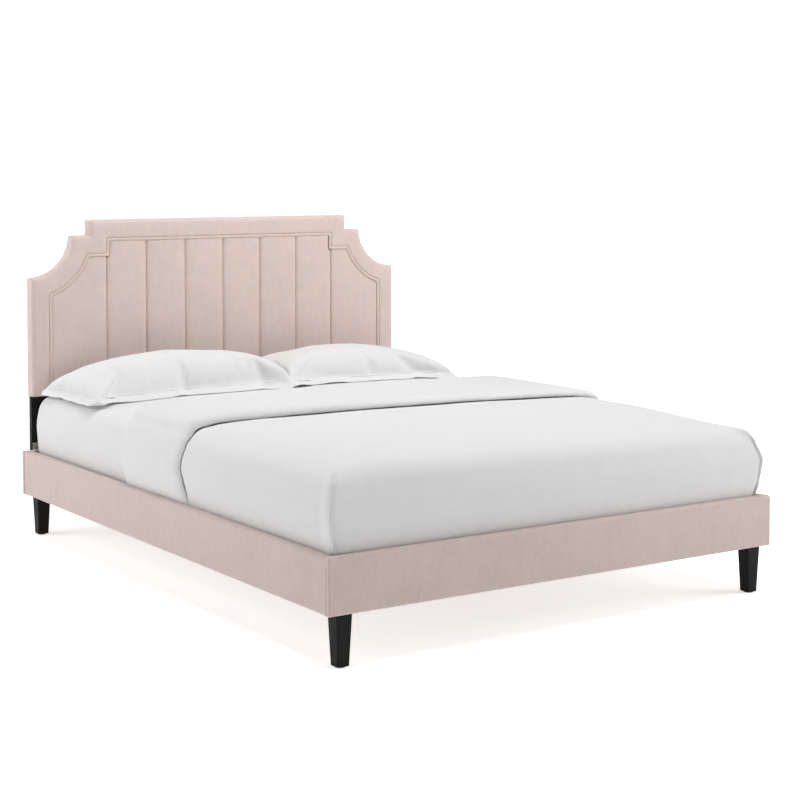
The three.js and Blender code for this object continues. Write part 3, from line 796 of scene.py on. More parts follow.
def headboard_channels():
    """Six upright channels between their seams, running up under the welt."""
    bottom = node_box("headboard_channel_1")[0][2] - 5 * MM
    top = PANEL_TOP - 9.0 * MM
    rows = bottom + (top - bottom) * seam_fractions(74)
    for number in range(1, 7):
        low, high = node_box(f"headboard_channel_{number}")
        across = seam_fractions(27)
        x, z = np.meshgrid(low[0] + (high[0] - low[0]) * across, rows)
        if number in (1, 6):
            narrow = ease((z - (WING_TOP - 16 * MM)) / (8 * MM)) * 9.0 * MM
            edge = np.abs(across - (0 if number == 1 else 1))
            x += narrow * (1 if number == 1 else -1) * np.clip(1 - edge * 5, 0, 1)
        side = np.minimum(x - x[:, :1], x[:, -1:] - x)
        ends = np.minimum(z - bottom, top - z)
        share = side / ((high[0] - low[0]) / 2)
        panel_piece(f"headboard_channel_velvet_{number}", x, z, side, ends, share,
                    f"headboard_channel_{number}")


def headboard_wings():
    """The plain panels outside the channels, cut to the hollow shoulders."""
    low, _ = node_box("headboard_wing_right")
    inset = BORDER_WIDTH + 9.0 * MM
    side, top, radius = HEADBOARD_HALF - inset, SHOULDER - inset, HOLLOW_RADIUS + inset
    bottom = low[2] - 5 * MM
    rows = bottom + (top - bottom) * seam_fractions(84)
    reach = np.full(len(rows), side)
    hollow = rows > HOLLOW_Z - math.sqrt(radius**2 - (side - HOLLOW_X) ** 2)
    reach[hollow] = HOLLOW_X - np.sqrt(radius**2 - (rows[hollow] - HOLLOW_Z) ** 2)
    fractions = seam_fractions(37)
    x = low[0] + (reach - low[0])[:, None] * fractions[None, :]
    z = np.repeat(rows[:, None], len(fractions), axis=1)
    to_hollow = np.hypot(x - HOLLOW_X, z - HOLLOW_Z) - radius
    to_seam = x - low[0]
    to_welt = np.minimum(np.minimum(side - x, top - z), np.minimum(z - bottom, to_hollow))
    to_welt = np.maximum(to_welt, 0.0)
    to_edge = np.minimum(to_seam, to_welt)
    for name, hand in SIDES:
        panel_piece(f"headboard_wing_velvet_{name}", hand * x, z, to_seam, to_welt, to_edge / (90 * MM),
                    f"headboard_wing_{name}")


def headboard_stitching():
    """Two rows of stitches along the welt and staples round the back lining."""
    lines = []
    stitch = sizes().stitch_length
    outer_row = BORDER_WIDTH - 1.6 * MM
    inner_row = outer_row + sizes().welt_width + 0.4 * MM
    for inset, depth in ((outer_row, 3.1 * MM), (inner_row, 3.4 * MM)):
        flat = outline(inset)
        lines.append(np.column_stack([flat[:, 0], np.full(len(flat), FRONT + depth), flat[:, 1]]))
    stitches = lines_object("headboard_welt_stitches", lines)
    thread = {"Spacing": stitch + 1.2 * MM, "Length": stitch, "Thickness": 1.1 * MM}
    grown(stitches, stitch_tree(MATERIALS["thread"]), thread)
    finish_piece(stitches, "bed_frame")
    flat = outline(EDGE_INSET + 8 * MM, HEADBOARD_BOTTOM + 14 * MM)
    back = [np.column_stack([flat[:, 0], np.full(len(flat), LINING_HIGH[1]), flat[:, 1]])]
    base = np.linspace(-FACE_HIGH[0] + 14 * MM, FACE_HIGH[0] - 14 * MM, 60)
    low = HEADBOARD_BOTTOM + 14 * MM
    back.append(np.column_stack([base, np.full(60, LINING_HIGH[1]), np.full(60, low)]))
    staple_run("headboard_lining_staples", back, 34 * MM, 4)


def staple_run(name, lines, spacing, seed):
    """Staples along a few lines, as one piece."""
    staples = lines_object(name, lines)
    grown(staples, staple_tree(MATERIALS["zinc"]),
          {"Spacing": spacing, "Crown": 10 * MM, "Wire": 1.0 * MM, "Seed": seed})
    finish_piece(staples, "bed_frame")


def finish_piece(piece, body, nodes=()):
    """Hides the frame nodes that a piece stands for, and rides the piece on its body."""
    if nodes:
        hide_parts(*nodes)
    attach(piece, body)
    return piece


# ---------------------------------------------------------------- rails

RAIL_DEPTH = RAIL_HIGH[1] - RAIL_LOW[1]
RAIL_SKIN = 4.7 * MM
END_ROUND = 4.6 * MM
SEAM_BACK = 13 * MM
SEAM_GAP = 2.4 * MM


def rail_section():
    """The velvet's section on a rail, as (distance in from the outer face, height)."""
    low, high = RAIL_LOW[2], RAIL_HIGH[2]
    depth, pocket = RAIL_DEPTH, RAIL_SKIN + 0.1 * MM
    points = [(depth, high - 2.6 * MM), (depth - 0.8 * MM, high - 0.8 * MM), (depth - 2.8 * MM, high)]
    points += [(21 * MM, high), (15 * MM, high), (10 * MM, high - 0.15 * MM), (7.0 * MM, high - 0.7 * MM)]
    points += [(4.4 * MM, high - 1.9 * MM), (2.4 * MM, high - 3.9 * MM), (1.0 * MM, high - 6.4 * MM)]
    points += [(0.3 * MM, high - 9.4 * MM)]
    points += [(0.0, z) for z in np.linspace(high - 14 * MM, low + 11 * MM, 12)]
    points += [(0.5 * MM, low + 6.4 * MM), (2.0 * MM, low + 3.0 * MM), (4.6 * MM, low + 0.8 * MM)]
    points += [(8 * MM, low), (18 * MM, low), (depth, low), (depth, low + pocket)]
    points += [(pocket, low + pocket), (pocket, high - pocket), (depth, high - pocket)]
    return np.array(points)


def rounding(distance, radius):
    """How far a rounded edge has fallen away at a distance from its end."""
    share = np.clip(1 - distance / radius, 0, 1)
    return radius * (1 - math.sqrt(1 - share**2))


def rail_velvet(name, node_name, face, inward, stations, seed):
    """Sweeps velvet along a rail; a station is (place along it, reach in, fall of the edge, solid)."""
    section = rail_section()
    low, high = RAIL_LOW[2], RAIL_HIGH[2]
    across = abs(inward[0]) > 0.5
    rings = []
    for place, reach, fall, solid in stations:
        inset = np.clip(section[:, 0], fall, reach)
        if solid:
            inset[-3:-1] = reach
        height = np.clip(section[:, 1], low + 0.8 * fall, high - 0.8 * fall)
        ring = np.empty((len(section), 3))
        ring[:, 0] = face + inward[0] * inset if across else place
        ring[:, 1] = place if across else face + inward[1] * inset
        ring[:, 2] = height
        dent = 0.4 * MM * (1 + soft_noise(ring * (1, 1, 1.5), 0.09, seed)) * (section[:, 0] < 1 * MM)
        ring[:, 0] += inward[0] * dent
        ring[:, 1] += inward[1] * dent
        rings.append(ring)
    piece = swept_loop(name, np.array(rings), MATERIALS["velvet"])
    return finish_piece(piece, "bed_frame", [node_name])


def end_rail(side, face, way, seed):
    """The foot or head rail: its velvet wraps both ends, back to the side rails' seams."""
    half = RAIL_HIGH[0]
    steps = np.array([0.0, 0.3, 1.1, 2.2, 3.4, 4.6]) * MM
    wrap = [(e, SEAM_BACK, rounding(e, END_ROUND), True) for e in steps]
    opened = [(RAIL_SKIN, SEAM_BACK, 0.0, True), (RAIL_SKIN + 0.05 * MM, RAIL_DEPTH, 0.0, False)]
    start = [(-half + e, *rest) for e, *rest in wrap + opened]
    finish = [(half - e, *rest) for e, *rest in reversed(wrap + opened)]
    middle = [(x, RAIL_DEPTH, 0.0, False) for x in np.linspace(-half + 12 * MM, half - 12 * MM, 120)]
    rail_velvet(f"{side}_rail_velvet", f"{side}_rail_cover", face, (0, way), start + middle + finish, seed)


def side_rail(side, hand, seed):
    """A side rail: its outer velvet laps over the ends of the foot and head rails to the seams."""
    low, high = SIDE_LOW[1], SIDE_HIGH[1]
    lap = RAIL_DEPTH - SEAM_BACK - SEAM_GAP
    edge = np.array([0.0, 0.3, 0.9, 1.9, 3.0]) * MM
    cloth = RAIL_SKIN - 0.1 * MM
    thin = [(e, cloth, rounding(e, 3.0 * MM), False) for e in edge]
    start = [(low - lap + e, *rest) for e, *rest in thin] + [(low, cloth, 0.0, False)]
    finish = [(high, cloth, 0.0, False)] + [(high + lap - e, *rest) for e, *rest in reversed(thin)]
    middle = [(y, RAIL_DEPTH, 0.0, False) for y in np.linspace(low + 0.05 * MM, high - 0.05 * MM, 150)]
    rail_velvet(f"{side}_rail_velvet", f"{side}_rail_cover", hand * RAIL_HIGH[0], (-hand, 0),
                start + middle + finish, seed)


# ---------------------------------------------------------------- mattress and bedding

SHEET_GAP = 2.0 * MM
SHEET_CLOTH = 1.6 * MM
SHEET_SIDE = MATTRESS_HIGH[0] + 7.0 * MM
SHEET_TOP = MATTRESS_HIGH[2] + 11.0 * MM


def box_cloth(x_lines, y_lines, depths, head_side=False):
    """The faces of cloth over a box: a top grid and strips down its sides.

    Gives the nominal points as (x, y, depth below the top) and the faces. Depths start at 0.
    With no head side, the cloth is open along the last Y line.
    """
    points, faces, index = [], [], {}

    def corner(i, j, k):
        key = (i, j, k)
        if key not in index:
            index[key] = len(points)
            points.append((x_lines[i], y_lines[j], depths[k]))
        return index[key]

    nx, ny, nz = len(x_lines), len(y_lines), len(depths)
    for i in range(nx - 1):
        for j in range(ny - 1):
            faces.append([corner(a, b, 0) for a, b in ((i, j), (i + 1, j), (i + 1, j + 1), (i, j + 1))])
    walls = [[(0, j) for j in range(ny)], [(nx - 1, j) for j in range(ny)], [(i, 0) for i in range(nx)]]
    if head_side:
        walls.append([(i, ny - 1) for i in range(nx)])
    for wall in walls:
        for (a, b), (c, d) in zip(wall, wall[1:]):
            for k in range(nz - 1):
                faces.append([corner(a, b, k), corner(c, d, k), corner(c, d, k + 1), corner(a, b, k + 1)])
    return np.array(points), faces


def closed_shell(name, outer, inner, faces, material):
    """Joins an outer and an inner surface with the same faces into one closed pad."""
    count = len(outer)
    used = {}
    for face in faces:
        for a, b in zip(face, face[1:] + face[:1]):
            used[(a, b)] = used.get((a, b), 0) + 1
            used[(b, a)] = used.get((b, a), 0) + 1
    rim = []
    for face in faces:
        for a, b in zip(face, face[1:] + face[:1]):
            if used[(a, b)] == 1:
                rim.append((a, b))
    whole = [tuple(f) for f in faces]
    whole += [tuple(count + v for v in reversed(f)) for f in faces]
    whole += [(b, a, count + a, count + b) for a, b in rim]
    return mesh_object(name, np.vstack([outer, inner]), whole, material)


class Drape:
    """Where cloth lies over a rounded box: it carries points of a flat-sided nominal box to the cloth.

    A profile runs from the middle of the bed to the hem as (inset from the widest line, height), with one of
    its points marked as the corner. Radii round the box's upright corners, by the run from that corner.
    """

    def __init__(self, half, low, high, profile, radii, foot_profile=None, open_head=True, lengthened=None):
        self.half, self.low, self.high = half, low, high
        self.lengthened = lengthened or ([0.0], [1.0])
        self.open_head = open_head
        self.side, shift = self.measured(profile)
        self.foot, _ = self.measured(foot_profile or profile)
        self.radii = radii
        self.nominal_half = half - shift
        self.nominal_low = low + shift
        self.nominal_high = high if open_head else high - shift
        self.reach = self.side[0][-1]

    @staticmethod
    def measured(profile):
        """The profile as (run, inset, height), and how far its corner lies in from the widest line."""
        points, corner = profile
        curve = smooth_profile(points, 260)
        run = np.concatenate([[0], np.cumsum(np.linalg.norm(np.diff(curve, axis=0), axis=1))])
        nearest = np.argmin(np.linalg.norm(curve - np.array(points[corner]), axis=1))
        run = run - run[nearest]
        shift = curve[0, 0] + run[0]
        run = np.concatenate([[run[0] - 3.0], run])
        inset = np.concatenate([[curve[0, 0] + 3.0], curve[:, 0]])
        height = np.concatenate([[curve[0, 1]], curve[:, 1]])
        return (run, inset, height), shift

    def run(self, nominal):
        """How far nominal points lie past the corner line: negative on top, positive down the sides."""
        from_foot = nominal[:, 1] - self.nominal_low
        if not self.open_head:
            from_foot = np.minimum(from_foot, self.nominal_high - nominal[:, 1])
        inner = np.maximum(np.minimum(self.nominal_half - np.abs(nominal[:, 0]), from_foot), 0.0)
        return np.where(nominal[:, 2] > 0, nominal[:, 2], -inner)

    def place(self, nominal):
        """The draped places of nominal points, and how far each lies from a corner along its ring."""
        x, y = nominal[:, 0], nominal[:, 1]
        from_side = self.nominal_half - np.abs(x)
        from_foot = y - self.nominal_low
        if not self.open_head:
            from_foot = np.minimum(from_foot, self.nominal_high - y)
        inner = np.maximum(np.minimum(from_side, from_foot), 0.0)
        run = self.run(nominal)
        on_side = from_side <= from_foot
        weight = ease((from_side - from_foot) / (60 * MM) + 0.5)
        inset = np.interp(run, self.side[0], self.side[1]) * (1 - weight)
        inset += np.interp(run, self.foot[0], self.foot[1]) * weight
        height = np.interp(run, self.side[0], self.side[2]) * (1 - weight)
        height += np.interp(run, self.foot[0], self.foot[2]) * weight
        radius = np.interp(run, self.radii[0], self.radii[1])
        middle = self.high if self.open_head else (self.high + self.low) / 2
        nominal_middle = self.nominal_high if self.open_head else (self.nominal_high + self.nominal_low) / 2
        sign_x = np.where(x < 0, -1.0, 1.0)
        sign_y = np.where((y < nominal_middle) | self.open_head, -1.0, 1.0)
        half_x = self.half - inset
        half_y = middle - self.low - inset
        share_x = np.abs(x) / np.maximum(self.nominal_half - inner, 1e-9)
        share_y = np.abs(y - nominal_middle) / np.maximum(nominal_middle - self.nominal_low - inner, 1e-9)
        share = np.clip(np.where(on_side, share_y, share_x), 0, 1)
        radius = np.clip(radius, 0, np.maximum(np.minimum(half_x, half_y) * 0.98, 1e-6))
        along = radius * np.interp(run, self.lengthened[0], self.lengthened[1])
        gone = np.where(on_side, half_y, half_x) * (1 - share)
        reach = np.where(on_side, along, radius)
        turn = np.clip(gone / reach, 0, 1) * math.pi / 4
        turn = np.where(on_side, math.pi / 4 - turn, math.pi / 4 + turn)
        curved = gone < reach
        px = np.where(on_side, half_x, half_x - gone)
        py = np.where(on_side, half_y - gone, half_y)
        px = np.where(curved, half_x - radius + radius * np.cos(turn), px)
        py = np.where(curved, half_y - along + along * np.sin(turn), py)
        return np.column_stack([sign_x * px, middle + sign_y * py, height]), gone


def lines_between(low, high, step, close=(), edge=0.0):
    """Grid lines from low to high: even steps, and closer ones near each end."""
    offsets = np.array(close)
    inner = np.linspace(low + edge, high - edge, max(2, round((high - low - 2 * edge) / step) + 1))
    return np.unique(np.round(np.concatenate([low + offsets, inner, high - offsets]), 7))


def vertex_normals(verts, faces):
    """The outward normals of loose points joined by faces."""
    form = mesh_object("form", verts, faces, merge=False)
    values = np.zeros(len(form.data.vertices) * 3, np.float32)
    form.data.vertex_normals.foreach_get("vector", values)
    bpy.data.meshes.remove(form.data)
    return values.reshape(-1, 3).astype(float)


FINE_EDGE = [0.0, 0.005, 0.010, 0.016, 0.023, 0.031, 0.040, 0.050, 0.061]


def build_mattress():
    """The mattress under the sheet: a rounded block in striped ticking."""
    low, high = MATTRESS_LOW, MATTRESS_HIGH
    profile = ([(0.20, high[2] - 1 * MM), (0.08, high[2] - 1 * MM), (0.034, high[2] - 4 * MM),
                (0.010, high[2] - 22 * MM), (0.002, high[2] - 60 * MM), (0.001, high[2] - 127 * MM),
                (0.002, low[2] + 60 * MM), (0.010, low[2] + 22 * MM), (0.034, low[2] + 4 * MM),
                (0.060, low[2] + 2.3 * MM)], 3)
    drape = Drape(high[0] - 1 * MM, low[1] + 1 * MM, high[1] - 1 * MM, profile,
                  ([-0.2, 0.0, 0.3], [0.05, 0.036, 0.034]), open_head=False)
    xs = lines_between(-drape.nominal_half, drape.nominal_half, 0.05, FINE_EDGE, 0.074)
    ys = lines_between(drape.nominal_low, drape.nominal_high, 0.05, FINE_EDGE, 0.074)
    nominal, faces = box_cloth(xs, ys, np.linspace(0, drape.reach, 22), head_side=True)
    verts, _ = drape.place(nominal)
    ring = [i for i in range(len(nominal)) if nominal[i, 2] > drape.reach - 1e-6]
    middle = verts[ring].mean(axis=0)
    ring.sort(key=lambda i: math.atan2(verts[i, 1] - middle[1], verts[i, 0] - middle[0]))
    piece = mesh_object("mattress_body", verts, faces + [ring], MATERIALS["ticking"])
    return finish_piece(piece, "mattress", ["mattress"])


def sheet_profile():
    """The fitted sheet's profile: over the top, down the side and under the mattress."""
    top, low = SHEET_TOP, MATTRESS_LOW[2] + SHEET_GAP
    return [(0.30, top), (0.10, top - 0.5 * MM), (0.052, top - 2 * MM), (0.030, top - 7 * MM),
            (0.015, top - 19 * MM), (0.004, top - 42 * MM), (-0.003, top - 82 * MM),
            (-0.005, top - 130 * MM), (-0.001, low + 66 * MM), (0.007, low + 24 * MM),
            (0.020, low + 5 * MM), (0.036, low - 1 * MM), (0.056, low - 1.6 * MM), (0.078, low - 1.6 * MM)]


def build_fitted_sheet():
    """A fitted sheet pulled over the mattress, with its hem underneath."""
    drape = Drape(SHEET_SIDE, MATTRESS_LOW[1] - 6.5 * MM, MATTRESS_HIGH[1] + 3 * MM, (sheet_profile(), 4),
                  ([-0.3, -0.05, 0.0, 0.4], [0.050, 0.036, 0.025, 0.026]), open_head=False)
    xs = lines_between(-drape.nominal_half, drape.nominal_half, 0.018, FINE_EDGE, 0.074)
    ys = lines_between(drape.nominal_low, drape.nominal_high, 0.018, FINE_EDGE, 0.074)
    nominal, faces = box_cloth(xs, ys, np.linspace(0, drape.reach, 40), head_side=True)
    verts, to_corner = drape.place(nominal)
    normals = vertex_normals(verts, faces)
    under = ease((nominal[:, 2] - 0.24) / 0.03)
    beside = ease((nominal[:, 2] - 0.02) / 0.05) * (1 - under)
    tucks = np.sin(to_corner / (6 * MM)) * bell(to_corner / (60 * MM)) * ease((nominal[:, 2] - 0.12) / 0.12)
    pulls = soft_noise(verts * (1.0, 1.0, 2.6) + verts[:, [2, 2, 2]] * (0.5, 0.5, 0), 0.09, 11)
    ripple = soft_noise(verts * (1, 1, 0.4), 0.055, 13)
    offset = (0.9 * MM * pulls + 0.5 * MM * ripple * (0.4 + beside) + 1.0 * MM * tucks) * (1 - under)
    shown = verts + normals * offset[:, None]
    hidden = shown - normals * SHEET_CLOTH
    piece = closed_shell("fitted_sheet", shown, hidden, faces, MATERIALS["sheet"])
    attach(piece, "mattress")
    return piece


# The duvet is tucked in at the foot and sides, and its top end is turned back over itself.
DUVET_HALF = DUVET_HIGH[0] + 1.5 * MM
DUVET_FOOT = DUVET_LOW[1] - 1.0 * MM
DUVET_TOP = 546 * MM
DUVET_HEM = DUVET_LOW[2]
FOLD_LINE = DUVET_HIGH[1]
BODY_END = FOLD_LINE - 22 * MM


def duvet_profiles():
    """The duvet's outer profiles at its sides and at its foot, and the lining's inner one."""
    top, hem = DUVET_TOP, DUVET_HEM
    upper = [(0.60, top + 3 * MM), (0.42, top + 1 * MM), (0.289, top), (0.155, top - 3 * MM),
             (0.110, top - 7 * MM), (0.067, top - 15 * MM), (0.041, top - 30 * MM), (0.024, top - 50 * MM),
             (0.014, top - 75 * MM), (0.005, top - 104 * MM), (0.0, top - 128 * MM)]
    lower = (top - 165 * MM, top - 202 * MM, top - 240 * MM, hem)
    side = upper + list(zip((0.004, 0.011, 0.020, 0.0205), lower))
    foot = upper + list(zip((0.0025, 0.006, 0.0105, 0.0112), lower))
    inner_top = SHEET_TOP + 2.5 * MM
    side_gap = DUVET_HALF - SHEET_SIDE - 8.0 * MM
    inner = [(0.60, inner_top), (0.30, inner_top), (0.11, inner_top - 1 * MM), (0.076, inner_top - 4 * MM),
             (0.052, inner_top - 12 * MM), (0.037, inner_top - 27 * MM), (0.027, inner_top - 50 * MM),
             (side_gap, inner_top - 90 * MM), (side_gap, inner_top - 140 * MM),
             (side_gap, inner_top - 190 * MM), (side_gap, hem)]
    return side, foot, inner


def duvet_wrinkles(verts, depth):
    """Relief of the duvet's cover: broad hollows, soft creases and the gathers near the foot corners."""
    broad = 2.2 * MM * soft_noise(verts * (1.0, 0.8, 1.0), 0.26, 21)
    medium = 0.9 * MM * soft_noise(verts * (1.0, 1.0, 0.8), 0.085, 23)
    fine = 0.28 * MM * soft_noise(verts * (1.0, 1.0, 0.6), 0.030, 25)
    on_side = ease(depth / 0.04)
    upright = 0.9 * MM * on_side * soft_noise(verts * (1.0, 1.0, 0.22), 0.040, 27)
    return sizes().duvet_crumple * (broad * (1 - 0.5 * on_side) + medium + fine + upright)


def corner_fold(nominal, verts, to_corner, drape):
    """The folded corner: the side's cloth laps round onto the foot face and ends in a thin lip."""
    from_side = drape.nominal_half - np.abs(nominal[:, 0])
    on_foot = from_side > nominal[:, 1] - drape.nominal_low + 1e-6
    run = drape.run(nominal)
    signed = np.where(on_foot, to_corner, -to_corner)
    height = verts[:, 2]
    lean = 9 * MM * ease((0.36 - height) / 0.07)
    lip = 10 * MM + lean + 0.9 * MM * soft_noise(verts * (0, 0, 1), 0.03, 31)
    share = ease((run - 13 * MM) / (26 * MM))
    behind = ease((lip - signed) / (1.5 * MM) + 0.5)
    swell = 9.0 * MM * behind * np.exp(-np.clip(lip - signed, 0, 1) / (20 * MM))
    swell = swell * np.where(nominal[:, 0] < 0, 1.0, 0.45) * (0.35 + 0.65 * ease((height - 0.298) / 0.030))
    edge = 2.2 * MM * bell((signed - lip + 2.2 * MM) / (2.3 * MM))
    crease = -5.0 * MM * (1 - behind) * np.exp(-np.clip(signed - lip, 0, 1) / (5.5 * MM))
    hollow = -2.2 * MM * bell((signed + 52 * MM) / (15 * MM)) * ease((height - 0.30) / 0.05)
    far = nominal[:, 0] > 0
    peak = np.where(far, 10.0, 6.0) * MM * bell(to_corner / (20 * MM)) * bell((run - 8 * MM) / (26 * MM))
    return share * (swell + edge + crease + hollow) + peak


def foot_fall(verts):
    """How far the filling has sunk towards the foot, most at the far side."""
    upper = ease((verts[:, 2] - 0.38) / 0.15)
    far = ease((verts[:, 0] + 0.5) / 1.1)
    gentle = 2 * MM * ease(-verts[:, 1] / 0.3)
    return upper * (gentle + (1 + 12 * far) * MM * ease((-0.50 - verts[:, 1]) / 0.42))


def press_under_flap(verts):
    """How far the turned-back end presses the duvet in below it."""
    edge = flap_edge(verts[:, 0], verts[:, 2])
    beside = 1 - ease((verts[:, 2] - 0.50) / 0.04)
    depth = (7.0 + 5.5 * beside - 7.5 * ease((0.36 - verts[:, 2]) / 0.06)) * MM
    width = (24 + 18 * beside) * MM
    return depth * ease((verts[:, 1] - edge + width - 10 * MM) / width)


FLAP_SIDE = FOLD_LINE - 0.415
FLAP_BOW = 1.65
FLAP_BOW_HEIGHT = 0.436
FLAP_SKEW = 0.128
FLAP_TOP = FOLD_LINE - 0.428
FLAP_SLANT = 0.134


def flap_edge(x, z):
    """The line where the turned-back end stops: slanting over the top, bowed and wavy down the sides."""
    x, z = np.asarray(x), np.asarray(z)
    side = FLAP_SIDE - FLAP_BOW * (z - FLAP_BOW_HEIGHT) ** 2 - FLAP_SKEW * (x > 0)
    side = side + 2.6 * MM * np.sin(z * 210.0) * np.sin(z * 67.0 + 1.0)
    top = FLAP_TOP - FLAP_SLANT * (0.5 + 0.5 * x / DUVET_HALF) ** 2
    return side + (top - side) * ease((z - 0.50) / 0.035)


def build_duvet_body():
    """The tucked-in duvet: a soft closed pad over the foot, sides and top of the mattress."""
    side, foot, inner_profile = duvet_profiles()
    radii = ([-0.30, -0.08, -0.03, 0.0, 0.03, 0.3], [0.20, 0.080, 0.030, 0.013, 0.012, 0.014])
    outer = Drape(DUVET_HALF, DUVET_FOOT, BODY_END, (side, 6), radii, (foot, 6),
                  lengthened=([0.0, 0.05, 0.12], [1.0, 1.5, 2.7]))
    inner = Drape(DUVET_HALF, DUVET_FOOT + 4.0 * MM, BODY_END, (inner_profile, 5),
                  ([-0.3, 0.0, 0.3], [0.09, 0.05, 0.045]))
    fine = [0.0, 0.003, 0.006, *np.linspace(0.008, 0.0215, 10), 0.024, 0.029, 0.036, 0.044, 0.052, 0.062]
    close = [0.0, 0.004, 0.008, 0.012, 0.016, 0.020, 0.025, 0.031, 0.038, 0.046, 0.054, 0.063]
    xs = lines_between(-outer.nominal_half, outer.nominal_half, 0.014, fine, 0.074)
    ys = lines_between(outer.nominal_low, outer.nominal_high, 0.014, close, 0.074)
    ys = np.unique(np.round(np.concatenate([ys, np.arange(-0.390, -0.140, 0.005)]), 7))
    ys = ys[np.concatenate([[True], np.diff(ys) > 1.2 * MM])]
    depths = np.concatenate([[0, 0.004], np.linspace(0.009, outer.reach, 27)])
    nominal, faces = box_cloth(xs, ys, depths)
    verts, to_corner = outer.place(nominal)
    normals = vertex_normals(verts, faces)
    relief = duvet_wrinkles(verts, nominal[:, 2])
    relief *= 1 - 0.8 * ease((0.310 - verts[:, 2]) / 0.02)
    relief += corner_fold(nominal, verts, to_corner, outer)
    relief -= press_under_flap(verts)
    shown = verts + normals * relief[:, None]
    shown[:, 2] -= foot_fall(verts)
    inside = nominal.copy()
    scale = inner.reach / outer.reach
    inside[:, 2] *= scale
    inside[:, 0] *= inner.nominal_half / outer.nominal_half
    span = (inner.nominal_high - inner.nominal_low) / (outer.nominal_high - outer.nominal_low)
    inside[:, 1] = inner.nominal_high - (outer.nominal_high - inside[:, 1]) * span
    lining, _ = inner.place(inside)
    piece = closed_shell("duvet_body", shown, lining, faces, MATERIALS["duvet_cotton"])
    finish_piece(piece, "duvet", ["duvet"])
    return outer


# The rolled edge's section, as (share of its depth, share of its thickness) from the duvet below it up.
FLAP_NOSE = ((0.42, 0.0), (0.24, 0.03), (0.11, 0.09), (0.02, 0.18), (-0.03, 0.28), (-0.04, 0.38),
             (-0.01, 0.48), (0.05, 0.58), (0.13, 0.68), (0.24, 0.775), (0.39, 0.86), (0.58, 0.93),
             (0.79, 0.98), (1.0, 1.0))


def flap_cross_section(outer):
    """The line that the turned-back end lies on, from hem over top to hem, with its normals."""
    run = np.concatenate([np.linspace(-outer.nominal_half, -0.10, 52), np.linspace(-0.092, outer.reach, 44)])
    inset = np.interp(run, outer.side[0], outer.side[1])
    height = np.interp(run, outer.side[0], outer.side[2])
    right = np.column_stack([outer.half - inset, height])
    line = np.vstack([right[::-1] * (-1, 1), right[1:]])
    tangent = np.gradient(line, axis=0)
    tangent /= np.linalg.norm(tangent, axis=1)[:, None]
    normal = np.column_stack([-tangent[:, 1], tangent[:, 0]])
    return line, normal


def build_duvet_flap(outer):
    """The turned-back end of the duvet: a soft fold with a rolled foot edge, wrapped over both sides."""
    line, normal = flap_cross_section(outer)
    on_top = ease((line[:, 1] - 0.508) / 0.024)
    low_down = ease((0.33 - line[:, 1]) / 0.04)
    near = ease((0.15 - line[:, 0]) / 0.55)
    thick = 20.0 * MM - 12.5 * MM * low_down + (4.5 + 8.0 * near) * MM * on_top
    sunk = 11.5 * MM - 7.0 * MM * low_down - 9.5 * MM * on_top
    edge = flap_edge(line[:, 0], line[:, 1])
    body = 24 * MM * on_top + 9 * MM * (1 - on_top)
    nose = 34 * MM * on_top + (34 - 10 * low_down) * MM * (1 - on_top)
    rings = []
    for k in range(len(line)):
        t, base, y0 = thick[k], -sunk[k], edge[k]
        loop = [(BODY_END + 3 * MM, base - 4 * MM), (y0 + 90 * MM, base - 4 * MM),
                (y0 + 50 * MM, base - 2 * MM), (y0 + 26 * MM, base)]
        front = y0 - 2.0 * MM
        for back, rise in FLAP_NOSE:
            loop.append((front + nose[k] * back, base + t * rise))
        top = base + t
        body_drop = base - body[k] + 2 * MM
        loop += [(y, top) for y in np.linspace(front + nose[k] + 0.016, FOLD_LINE - 0.085, 22)]
        depth = top - body_drop
        for a in np.linspace(0, math.pi, 12):
            stretch = 62 * MM if a < math.pi / 2 else 16 * MM
            drop = depth / 2 * (1 - math.cos(a))
            shape = math.sin(a) ** 0.8
            loop.append((FOLD_LINE - stretch + stretch * shape, top - drop))
        loop.append((BODY_END + 3 * MM, body_drop))
        ring = np.array([(line[k, 0] + normal[k, 0] * h, y, line[k, 1] + normal[k, 1] * h) for y, h in loop])
        rings.append(ring)
    rings = np.array(rings)
    flat = rings.reshape(-1, 3)
    relief = 1.1 * MM * soft_noise(flat, 0.20, 41) + 0.7 * MM * soft_noise(flat, 0.07, 43)
    relief += 0.3 * MM * soft_noise(flat * (1, 1, 0.7), 0.028, 45)
    near_edge = bell((flat[:, 1] - flap_edge(flat[:, 0], flat[:, 2]) - 14 * MM) / (24 * MM))
    relief += 1.5 * MM * near_edge * soft_noise(flat * (1.0, 0.35, 1.0), 0.022, 47)
    shown = (np.arange(rings.shape[1]) >= 4)[None, :].repeat(len(rings), axis=0).ravel()
    direction = np.column_stack([normal[:, 0], np.zeros(len(normal)), normal[:, 1]])
    direction = np.repeat(direction, rings.shape[1], axis=0)
    flat = flat + direction * (relief * shown)[:, None]
    piece = swept_loop("duvet_turned_back_end", flat.reshape(rings.shape), MATERIALS["duvet_cotton"])
    return finish_piece(piece, "duvet")


def build_duvet():
    """Both parts of the duvet."""
    build_duvet_flap(build_duvet_body())


# ---------------------------------------------------------------- pillows

PILLOW_CELL = 12 * MM


